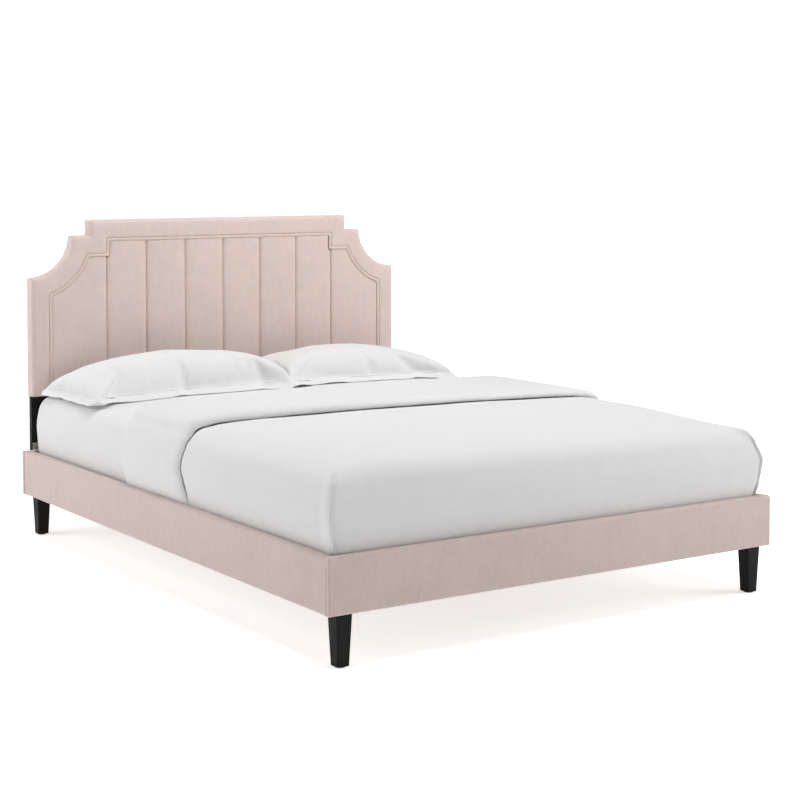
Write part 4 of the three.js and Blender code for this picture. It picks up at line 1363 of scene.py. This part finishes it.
def pillow_form(width, depth):
    """A flat pillow case: two layers joined at a seam, with a single-layer flange round them."""
    columns, rows = round(width / PILLOW_CELL) + 1, round(depth / PILLOW_CELL) + 1
    xs, ys = np.linspace(-width / 2, width / 2, columns), np.linspace(-depth / 2, depth / 2, rows)
    band = max(2, round(sizes().pillow_flange / PILLOW_CELL))
    i, j = np.meshgrid(np.arange(columns), np.arange(rows), indexing="ij")
    from_edge = np.minimum(np.minimum(i, columns - 1 - i), np.minimum(j, rows - 1 - j))
    inside = from_edge > band
    upper = np.arange(columns * rows).reshape(columns, rows)
    lower = upper.copy()
    lower[inside] = columns * rows + np.arange(inside.sum())
    rise = 4 * MM * ease((from_edge - band) / 4.0)
    top = np.column_stack([xs[i].ravel(), ys[j].ravel(), rise.ravel()])
    under = np.column_stack([xs[i[inside]], ys[j[inside]], -rise[inside]])
    faces = []
    for a in range(columns - 1):
        for b in range(rows - 1):
            cell = ((a, b), (a + 1, b), (a + 1, b + 1), (a, b + 1))
            faces.append([upper[c] for c in cell])
            if min(from_edge[c] for c in cell) >= band:
                faces.append([lower[c] for c in reversed(cell)])
    return np.vstack([top, under]), faces, upper, lower, from_edge, band


def swollen(verts, faces, padded_points, pressure, frames):
    """The cloth after air pressure has filled it: gravity is off and only the padded part is pressed."""
    obj = mesh_object("pillow_under_pressure", verts, faces, merge=False)
    group = obj.vertex_groups.new(name="padded")
    group.add([int(v) for v in padded_points], 1.0, "REPLACE")
    cloth = obj.modifiers.new("Cloth", "CLOTH")
    settings = cloth.settings
    settings.quality = 6
    settings.mass = 0.25
    settings.tension_stiffness = 18.0
    settings.compression_stiffness = 18.0
    settings.shear_stiffness = 6.0
    settings.bending_stiffness = 0.35
    settings.air_damping = 1.5
    settings.effector_weights.gravity = 0.0
    settings.use_pressure = True
    settings.uniform_pressure_force = pressure
    settings.vertex_group_pressure = "padded"
    cloth.collision_settings.use_collision = False
    cloth.point_cache.frame_start = 1
    cloth.point_cache.frame_end = frames
    scene = bpy.context.scene
    for step in range(1, frames + 1):
        scene.frame_set(step)
    graph = bpy.context.evaluated_depsgraph_get()
    mesh = obj.evaluated_get(graph).to_mesh()
    values = np.zeros(len(mesh.vertices) * 3, np.float32)
    mesh.vertices.foreach_get("co", values)
    obj.evaluated_get(graph).to_mesh_clear()
    bpy.data.meshes.remove(obj.data)
    scene.frame_set(1)
    return values.reshape(-1, 3).astype(float)


def build_pillow(name, node_name, corners, crest, seam_height, seed, tip_lift, fuller):
    """One flanged pillow: filled by pressure, settled on the sheet and fitted between its four corners."""
    corners = np.array(corners)
    width = np.linalg.norm((corners[1] + corners[2] - corners[0] - corners[3]) / 2) * 1.035
    depth = np.linalg.norm((corners[3] + corners[2] - corners[0] - corners[1]) / 2) * 1.12
    form, faces, upper, lower, from_edge, band = pillow_form(width, depth)
    padded_points = np.unique(np.concatenate([upper[from_edge >= band], lower[from_edge >= band]]))
    shape = swollen(form, faces, padded_points, 5.5, 24)
    ends = shape[[upper[0, 0], upper[-1, 0], upper[-1, -1], upper[0, -1]]]
    half_x = np.abs(ends[:, 0]).mean()
    half_y = np.abs(ends[:, 1]).mean()
    u, v = shape[:, 0] / half_x * 0.5 + 0.5, shape[:, 1] / half_y * 0.5 + 0.5
    plan = ((1 - u) * (1 - v))[:, None] * corners[0] + (u * (1 - v))[:, None] * corners[1]
    plan += (u * v)[:, None] * corners[2] + ((1 - u) * v)[:, None] * corners[3]
    bed = SHEET_TOP + 2.0 * MM
    tall = np.percentile(shape[:, 2], 99.7)
    low = np.percentile(shape[:, 2], 0.3)
    rise = (crest - bed - seam_height) / tall
    round_share = np.clip(shape[:, 2] / tall, 1e-6, 1)
    power = 1 - fuller[0] * ease((0.42 - u) / 0.34) - fuller[1] * ease((u - 0.58) / 0.34)
    height = np.where(shape[:, 2] >= 0, seam_height + tall * rise * round_share ** power,
                      seam_height * np.clip(1 - shape[:, 2] / low, 0, 1) ** 0.6)
    edge = np.zeros(len(shape))
    edge[upper.ravel()] = np.clip(from_edge.ravel() / band, 0, 1)
    edge[lower.ravel()] = np.clip(from_edge.ravel() / band, 0, 1)
    ripple = soft_noise(np.column_stack([plan, np.zeros(len(plan))]), 0.060, seed) * 3.5 * MM
    fallen = seam_height * edge**1.25 + np.clip(shape[:, 2], -0.006, 0.006) * 0.5 + ripple * (1 - 0.5 * edge)
    height = np.where(edge < 1, np.maximum(fallen, 0.6 * MM), height)
    lift = tip_lift[0] * bell((u - tip_lift[1]) / 0.10) * bell(v / 0.16)
    height = height + lift * (1 - 0.4 * edge)
    lean = 0.052 * np.clip((height - seam_height) / (crest - bed), 0, 1)
    crumple = 1.5 * MM * soft_noise(np.column_stack([plan * (1.0, 0.7), height * 0.6]), 0.050, seed + 2)
    crumple += 0.8 * MM * soft_noise(np.column_stack([plan * (1.2, 0.5), height * 0.4]), 0.026, seed + 4)
    from_seam = np.clip(height - seam_height, 0, 1) + 0.6 * np.clip(seam_height - height, 0, 1)
    gathers = soft_noise(np.column_stack([plan * (1.0, 0.25), height * 0.15]), 0.017, seed + 6)
    crumple += 1.5 * MM * gathers * bell(from_seam / (34 * MM))
    above = sizes().pillow_crumple * np.clip((height - 4 * MM) / (30 * MM), 0, 1)
    places = np.column_stack([plan[:, 0], plan[:, 1] + lean, bed + height + crumple * above])
    top = places[upper.ravel()]
    under = places[lower.ravel()]
    flange = from_edge.ravel() <= band
    top[from_edge.ravel() == band, 2] -= 2.6 * MM
    under[flange, 2] -= 2.0 * MM
    under[:, 2] = np.maximum(under[:, 2], bed - 1.2 * MM)
    top = np.maximum(top, [-9, -9, bed + 1.2 * MM])
    columns, rows = upper.shape
    piece = shell_between(name, top, under, columns, rows, MATERIALS["pillow_cotton"])
    subdivided(piece)
    return finish_piece(piece, node_name, [node_name])


def build_pillows():
    """Two flanged pillows side by side against the headboard."""
    low, high = node_box("pillow_left")
    left = [(low[0] + 14 * MM, low[1] - 14 * MM), (high[0] + 10 * MM, low[1] + 84 * MM),
            (high[0] - 2 * MM, high[1] - 2 * MM), (low[0] + 20 * MM, high[1] + 4 * MM)]
    build_pillow("pillow_case_left", "pillow_left", left, high[2] + 2 * MM, 24 * MM, 61, (10 * MM, 0.05),
                 (0.0, 0.42))
    low, high = node_box("pillow_right")
    right = [(low[0] + 14 * MM, low[1] + 80 * MM), (high[0] + 4 * MM, low[1] + 2 * MM),
             (high[0] - 2 * MM, high[1] - 16 * MM), (low[0] + 4 * MM, high[1] - 2 * MM)]
    build_pillow("pillow_case_right", "pillow_right", right, high[2] + 3 * MM, 22 * MM, 71, (6 * MM, 0.05),
                 (0.45, 0.12))


# ---------------------------------------------------------------- timber and fittings

TAPE_PLACE = 0.38
TAPE_WIDTH = 25 * MM
TAPE_THICKNESS = 1.5 * MM
TAPE_SAG = 3.0 * MM


def build_slats():
    """Ten pine slats with rounded edges, held by two woven tapes under them."""
    first_low, first_high = node_box("slat_1")
    last_low, last_high = node_box("slat_10")
    first = (first_low + first_high) / 2
    last = (last_low + last_high) / 2
    names = [f"slat_{k}" for k in range(1, 11)]
    slats = points_object("slats", [(0, 0, 0)])
    grown(slats, slat_tree(MATERIALS["pine_x"]), {
        "Count": len(names),
        "First": tuple(first),
        "Pitch": tuple((last - first) / (len(names) - 1)),
        "Half Length": (first_high[0], 0.0, 0.0),
        "Width": float(first_high[1] - first_low[1]),
        "Thickness": float(first_high[2] - first_low[2]),
        "Edge Radius": 3 * MM,
    })
    finish_piece(slats, "bed_frame", names)
    ys = np.linspace(first_low[1] + 6 * MM, last_high[1] - 6 * MM, 90)
    middles = np.linspace(first[1], last[1], len(names))
    from_slat = np.abs(ys[:, None] - middles).min(axis=1)
    level = first_low[2] - 0.1 * MM - TAPE_SAG * ease((from_slat - 38 * MM) / (50 * MM))
    for name, hand in (("slat_tape_left", LEFT), ("slat_tape_right", RIGHT)):
        left, right = hand * TAPE_PLACE - TAPE_WIDTH / 2, hand * TAPE_PLACE + TAPE_WIDTH / 2
        rings = np.array([
            [(left, y, z), (right, y, z), (right, y, z - TAPE_THICKNESS), (left, y, z - TAPE_THICKNESS)]
            for y, z in zip(ys, level)
        ])
        finish_piece(swept_loop(name, rings, MATERIALS["webbing"]), "bed_frame")


def screw_places():
    """Where the frame's screws are: on slat ends, ledgers, blocks, hangers and brackets."""
    places, facing = [], []

    def add(x, y, z, direction):
        places.append((x, y, z))
        facing.append(direction)

    ledger_face = LEDGER_LOW[0]
    for k in range(1, 11):
        low, high = node_box(f"slat_{k}")
        y = (low[1] + high[1]) / 2
        for x in (low[0] + 13 * MM, high[0] - 13 * MM):
            add(x, y, high[2] - 0.4 * MM, (0, 0, 1))
        for x in (-TAPE_PLACE, TAPE_PLACE):
            add(x, y, low[2] - TAPE_THICKNESS, (0, 0, -1))
    for y in np.linspace(LEDGER_LOW[1] + 60 * MM, LEDGER_HIGH[1] - 60 * MM, 7):
        for hand in (LEFT, RIGHT):
            add(hand * ledger_face, y, (LEDGER_LOW[2] + LEDGER_HIGH[2]) / 2, (-hand, 0, 0))
    for name in ("foot", "head"):
        way = 1 if name == "foot" else -1
        for side, hand in SIDES:
            low, high = node_box(f"corner_block_{name}_{side}")
            inner_x = low[0] if hand > 0 else high[0]
            inner_y = high[1] if way > 0 else low[1]
            outer_x = high[0] if hand > 0 else low[0]
            outer_y = low[1] if way > 0 else high[1]
            for z in (low[2] + 22 * MM, high[2] - 22 * MM):
                add(outer_x - hand * 16 * MM, inner_y, z, (0, way, 0))
                add(inner_x, outer_y + way * 16 * MM, z, (-hand, 0, 0))
        low, high = node_box(f"beam_hanger_{name}")
        plate = (low[1] + 2.3 * MM) if name == "foot" else (high[1] - 2.3 * MM)
        for x in (-35 * MM, 35 * MM):
            add(x, plate, (low[2] + high[2]) / 2, (0, way, 0))
    for side, hand in SIDES:
        low, high = node_box(f"head_bracket_{side}")
        add((low[0] + high[0]) / 2, low[1] + 7 * MM, low[2] + 2.6 * MM, (0, 0, 1))
        add((low[0] + high[0]) / 2, high[1] - 2.8 * MM, high[2] - 8 * MM, (0, -1, 0))
    return places, facing


def build_fittings():
    """Screws, bolts and staples, placed along the joints that they hold."""
    places, facing = screw_places()
    screws = points_object("frame_screws", places, facing)
    grown(screws, screw_tree(MATERIALS["zinc"]), {"Head Radius": 3.8 * MM, "Head Height": 1.7 * MM})
    finish_piece(screws, "bed_frame")
    bolts, directions = [], []
    for hand in (LEFT, RIGHT):
        middle = hand * (abs(POST_LOW[0]) + abs(POST_HIGH[0])) / 2
        for z in (190 * MM, 262 * MM):
            bolts.append((middle, POST_HIGH[1] - 0.3 * MM, z))
            directions.append((0, 1, 0))
    heads = points_object("post_bolts", bolts, directions)
    grown(heads, screw_tree(MATERIALS["black_steel"]), {"Head Radius": 8.5 * MM, "Head Height": 4.2 * MM})
    finish_piece(heads, "bed_frame")
    low = RAIL_LOW[2]
    inset = RAIL_DEPTH - 5 * MM
    half = RAIL_HIGH[0]
    foot, head = RAIL_LOW[1], HEAD_RAIL_HIGH[1]
    lines = []
    for hand in (LEFT, RIGHT):
        ys = np.linspace(foot + 0.12, head - 0.12, 60)
        lines.append([(hand * (half - inset), y, low) for y in ys])
    xs = np.linspace(-half + 0.12, half - 0.12, 60)
    lines.append([(x, foot + inset, low) for x in xs])
    lines.append([(x, head - inset, low) for x in xs])
    staple_run("rail_staples", lines, 42 * MM, 7)


NODE_FINISHES = {
    "plywood_x": ["foot_rail_board", "head_rail_board", "headboard_face_board"],
    "plywood_y": ["left_rail_board", "right_rail_board"],
    "pine_z": [f"corner_block_{e}_{s}" for e in ("foot", "head") for s in ("left", "right")],
    "pine_y": ["ledger_left", "ledger_right", "centre_beam"],
    "pine_x": ["headboard_batten_lower", "headboard_batten_crown"],
    "black_wood": [f"leg_{e}_{s}" for e in ("foot", "head") for s in ("left", "right")]
    + ["centre_leg_foot", "centre_leg_head", "headboard_post_left", "headboard_post_right"],
    "nylon": [f"glide_{e}_{s}" for e in ("foot", "head") for s in ("left", "right")],
    "black_steel": ["levelling_foot_foot", "levelling_foot_head"],
    "zinc": ["beam_hanger_foot", "beam_hanger_head", "head_bracket_left", "head_bracket_right"],
    "lining": ["headboard_lining"],
}


# ---------------------------------------------------------------- stage

CAMERA_PLACE = (-3.2323, -5.0491, 1.3441)
CAMERA_TURN = (87.5, 0.0, -33.671)
CAMERA_LENS = 80.29
CAMERA_SHIFT = -0.199
SURROUND_WHITE = 1.05  # how bright the surround and the far floor look
FLOOR_LIFT = 0.42  # extra brightness of the floor to the eye alone


def aimed(place, target):
    """The turn that points a lamp or camera from a place to a target."""
    return (Vector(target) - Vector(place)).to_track_quat("-Z", "Y").to_euler()


def add_softbox(name, place, target, size, power):
    """A large soft area light."""
    data = bpy.data.lights.new(name, "AREA")
    data.shape = "RECTANGLE"
    data.size, data.size_y = size
    data.energy = power
    lamp = bpy.data.objects.new(name, data)
    lamp.location = place
    lamp.rotation_euler = aimed(place, target)
    bpy.context.scene.collection.objects.link(lamp)


def build_camera():
    """The camera, level with the headboard's top and turned towards the bed."""
    data = bpy.data.cameras.new("camera")
    data.sensor_width = 36.0
    data.lens = CAMERA_LENS
    data.shift_y = CAMERA_SHIFT
    data.clip_end = 100.0
    camera = bpy.data.objects.new("camera", data)
    camera.location = CAMERA_PLACE
    camera.rotation_euler = tuple(math.radians(a) for a in CAMERA_TURN)
    bpy.context.scene.collection.objects.link(camera)
    bpy.context.scene.camera = camera


def build_floor():
    """A wide pale floor that keeps its shadows light and runs into the white surround."""
    material, tree, shader, place = start_material("pale_floor")
    cloud = noise_field(tree, place, 0.8, 2.0)
    colour_by(tree, shader, cloud, (0.86, 0.86, 0.86), (0.90, 0.90, 0.90))
    shader.inputs["Roughness"].default_value = 0.9
    shader.inputs["Specular IOR Level"].default_value = 0.1
    shader.inputs["Emission Color"].default_value = (1.0, 1.0, 1.0, 1.0)
    away = tree.nodes.new("ShaderNodeVectorMath")
    away.operation = "LENGTH"
    tree.links.new(place, away.inputs[0])
    glow = bpy.context.scene.bed_stage.floor_glow
    seen = tree.nodes.new("ShaderNodeLightPath")
    lift = combined(tree, "MULTIPLY", seen.outputs["Is Camera Ray"], FLOOR_LIFT)
    strength = spread(tree, away.outputs["Value"], glow, SURROUND_WHITE, 1.6, 5.0)
    tree.links.new(added(tree, strength, lift), shader.inputs["Emission Strength"])
    side = 30.0
    corners = [(-1, -1), (1, -1), (1, 1), (-1, 1)]
    floor = mesh_object("floor", [(side * x, side * y, -0.3 * MM) for x, y in corners], [(0, 1, 2, 3)],
                        material, smooth=False)


def build_world():
    """A white surround: bright to look at, softer as a light."""
    world = bpy.data.worlds.new("white_surround")
    world.use_nodes = True
    tree = world.node_tree
    shade = tree.nodes["Background"]
    shade.inputs["Strength"].default_value = bpy.context.scene.bed_stage.surround
    seen = tree.nodes.new("ShaderNodeBackground")
    seen.inputs["Strength"].default_value = SURROUND_WHITE
    seen.inputs["Color"].default_value = (1, 1, 1, 1)
    shade.inputs["Color"].default_value = (1, 1, 1, 1)
    path = tree.nodes.new("ShaderNodeLightPath")
    mix = tree.nodes.new("ShaderNodeMixShader")
    tree.links.new(path.outputs["Is Camera Ray"], mix.inputs["Fac"])
    tree.links.new(shade.outputs["Background"], mix.inputs[1])
    tree.links.new(seen.outputs["Background"], mix.inputs[2])
    tree.links.new(mix.outputs["Shader"], tree.nodes["World Output"].inputs["Surface"])
    bpy.context.scene.world = world


def build_lights():
    """A key light high on the left, a fill from the right and a soft light overhead."""
    stage = bpy.context.scene.bed_stage
    middle = (0.0, 0.0, 0.5)
    add_softbox("key_left", (-4.6, 2.6, 2.4), middle, (3.0, 3.0), stage.key)
    add_softbox("fill_right", (4.4, -3.0, 2.0), (0.4, 0.2, 0.5), (2.4, 2.4), stage.fill)
    add_softbox("overhead", (0.0, -0.4, 4.2), middle, (4.0, 4.0), stage.overhead)


# ---------------------------------------------------------------- the add-on

class BedFinishes(bpy.types.PropertyGroup):
    """The colours of the bed."""

    velvet: bpy.props.FloatVectorProperty(
        name="Velvet", description="Colour of the velvet on the headboard and rails",
        default=(0.722, 0.592, 0.552), subtype="COLOR", min=0.0, max=1.0)
    bedding: bpy.props.FloatVectorProperty(
        name="Bedding", description="Colour of the duvet, sheet and pillows",
        default=(0.83, 0.83, 0.83), subtype="COLOR", min=0.0, max=1.0)


class BedSizes(bpy.types.PropertyGroup):
    """The sizes of the sewn and filled parts."""

    welt_width: bpy.props.FloatProperty(
        name="Welt width", description="Width of the band between the headboard's border and its panel",
        default=10.8 * MM, min=6 * MM, max=20 * MM, unit="LENGTH")
    stitch_length: bpy.props.FloatProperty(
        name="Stitch length", description="Length of one stitch along the welt",
        default=4.0 * MM, min=2 * MM, max=8 * MM, unit="LENGTH")
    seam_depth: bpy.props.FloatProperty(
        name="Channel seam depth", description="How far the channels are drawn in at their seams",
        default=8.8 * MM, min=2 * MM, max=14 * MM, unit="LENGTH")
    pillow_flange: bpy.props.FloatProperty(
        name="Pillow flange", description="Width of the flat border round each pillow",
        default=42 * MM, min=20 * MM, max=70 * MM, unit="LENGTH")
    duvet_crumple: bpy.props.FloatProperty(
        name="Duvet crumple", description="How crumpled the duvet's cover is, with 1 as made",
        default=1.0, min=0.0, max=3.0)
    pillow_crumple: bpy.props.FloatProperty(
        name="Pillow crumple", description="How crumpled the pillow cases are, with 1 as made",
        default=1.0, min=0.0, max=3.0)


class BedStage(bpy.types.PropertyGroup):
    """The lights and the floor."""

    key: bpy.props.FloatProperty(
        name="Key light", description="Power of the large light on the left", default=114.0, min=0.0)
    fill: bpy.props.FloatProperty(
        name="Fill light", description="Power of the light on the right", default=114.0, min=0.0)
    overhead: bpy.props.FloatProperty(
        name="Overhead light", description="Power of the light over the bed", default=152.0, min=0.0)
    surround: bpy.props.FloatProperty(
        name="Surround", description="Strength of the white surround as a light", default=0.02, min=0.0)
    floor_glow: bpy.props.FloatProperty(
        name="Floor glow", description="Light given off by the floor, which keeps shadows pale",
        default=0.25, min=0.0)


class BED_OT_stage(bpy.types.Operator):
    """Set up the camera, the pale floor, the surround and the lights"""

    bl_idname = "bed.stage"
    bl_label = "Stage"

    def execute(self, context):
        build_camera()
        build_floor()
        build_world()
        build_lights()
        context.scene.view_settings.view_transform = "Standard"
        return {"FINISHED"}


class BED_OT_frame_finishes(bpy.types.Operator):
    """Give the timber, steel and lining of the frame their finishes"""

    bl_idname = "bed.frame_finishes"
    bl_label = "Frame Finishes"

    def execute(self, context):
        make_materials()
        for key, names in NODE_FINISHES.items():
            for name in names:
                dress_node(name, key)
        return {"FINISHED"}


class BED_OT_headboard(bpy.types.Operator):
    """Upholster the headboard: border, welt, wings, channels and stitching"""

    bl_idname = "bed.headboard"
    bl_label = "Headboard"

    def execute(self, context):
        headboard_border()
        headboard_welt()
        headboard_wings()
        headboard_channels()
        headboard_stitching()
        return {"FINISHED"}


class BED_OT_rails(bpy.types.Operator):
    """Cover the four rails in velvet"""

    bl_idname = "bed.rails"
    bl_label = "Rails"

    def execute(self, context):
        end_rail("foot", RAIL_LOW[1], 1, 81)
        end_rail("head", HEAD_RAIL_HIGH[1], -1, 82)
        side_rail("left", LEFT, 83)
        side_rail("right", RIGHT, 84)
        return {"FINISHED"}


class BED_OT_slats(bpy.types.Operator):
    """Lay the slats and the tapes that hold them"""

    bl_idname = "bed.slats"
    bl_label = "Slats"

    def execute(self, context):
        build_slats()
        return {"FINISHED"}


class BED_OT_fittings(bpy.types.Operator):
    """Put in the screws, bolts and staples"""

    bl_idname = "bed.fittings"
    bl_label = "Fittings"

    def execute(self, context):
        build_fittings()
        return {"FINISHED"}


class BED_OT_mattress(bpy.types.Operator):
    """Make the mattress and its fitted sheet"""

    bl_idname = "bed.mattress"
    bl_label = "Mattress and Sheet"

    def execute(self, context):
        build_mattress()
        build_fitted_sheet()
        return {"FINISHED"}


class BED_OT_duvet(bpy.types.Operator):
    """Lay the duvet, tucked in at the foot and turned back at the head"""

    bl_idname = "bed.duvet"
    bl_label = "Duvet"

    def execute(self, context):
        build_duvet()
        return {"FINISHED"}


class BED_OT_pillows(bpy.types.Operator):
    """Fill the two pillows and set them against the headboard"""

    bl_idname = "bed.pillows"
    bl_label = "Pillows"

    def execute(self, context):
        build_pillows()
        return {"FINISHED"}


OPERATORS = (
    BED_OT_stage, BED_OT_frame_finishes, BED_OT_headboard, BED_OT_rails, BED_OT_slats,
    BED_OT_fittings, BED_OT_mattress, BED_OT_duvet, BED_OT_pillows,
)


class BED_PT_pieces(bpy.types.Panel):
    """The bed's pieces, in the order they are made"""

    bl_idname = "BED_PT_pieces"
    bl_label = "Upholstered Bed"
    bl_space_type = "VIEW_3D"
    bl_region_type = "UI"
    bl_category = "Bed"

    def draw(self, context):
        scene = context.scene
        for group in (scene.bed_finishes, scene.bed_sizes, scene.bed_stage):
            for name in group.bl_rna.properties.keys():
                if name not in ("rna_type", "name"):
                    self.layout.prop(group, name)
        for operator in OPERATORS:
            self.layout.operator(operator.bl_idname)


GROUPS = {"bed_finishes": BedFinishes, "bed_sizes": BedSizes, "bed_stage": BedStage}


def register():
    """Adds the classes and the scene's settings."""
    for group in GROUPS.values():
        bpy.utils.register_class(group)
    for name, group in GROUPS.items():
        setattr(bpy.types.Scene, name, bpy.props.PointerProperty(type=group))
    for operator in OPERATORS:
        bpy.utils.register_class(operator)
    bpy.utils.register_class(BED_PT_pieces)


def unregister():
    """Takes the classes and settings away again."""
    bpy.utils.unregister_class(BED_PT_pieces)
    for operator in reversed(OPERATORS):
        bpy.utils.unregister_class(operator)
    for name, group in GROUPS.items():
        delattr(bpy.types.Scene, name)
        bpy.utils.unregister_class(group)


def main():
    """Builds everything in order."""
    register()
    bpy.ops.bed.stage()
    bpy.ops.bed.frame_finishes()
    bpy.ops.bed.headboard()
    bpy.ops.bed.rails()
    bpy.ops.bed.slats()
    bpy.ops.bed.fittings()
    bpy.ops.bed.mattress()
    bpy.ops.bed.duvet()
    bpy.ops.bed.pillows()


if __name__ == "__main__":
    main()
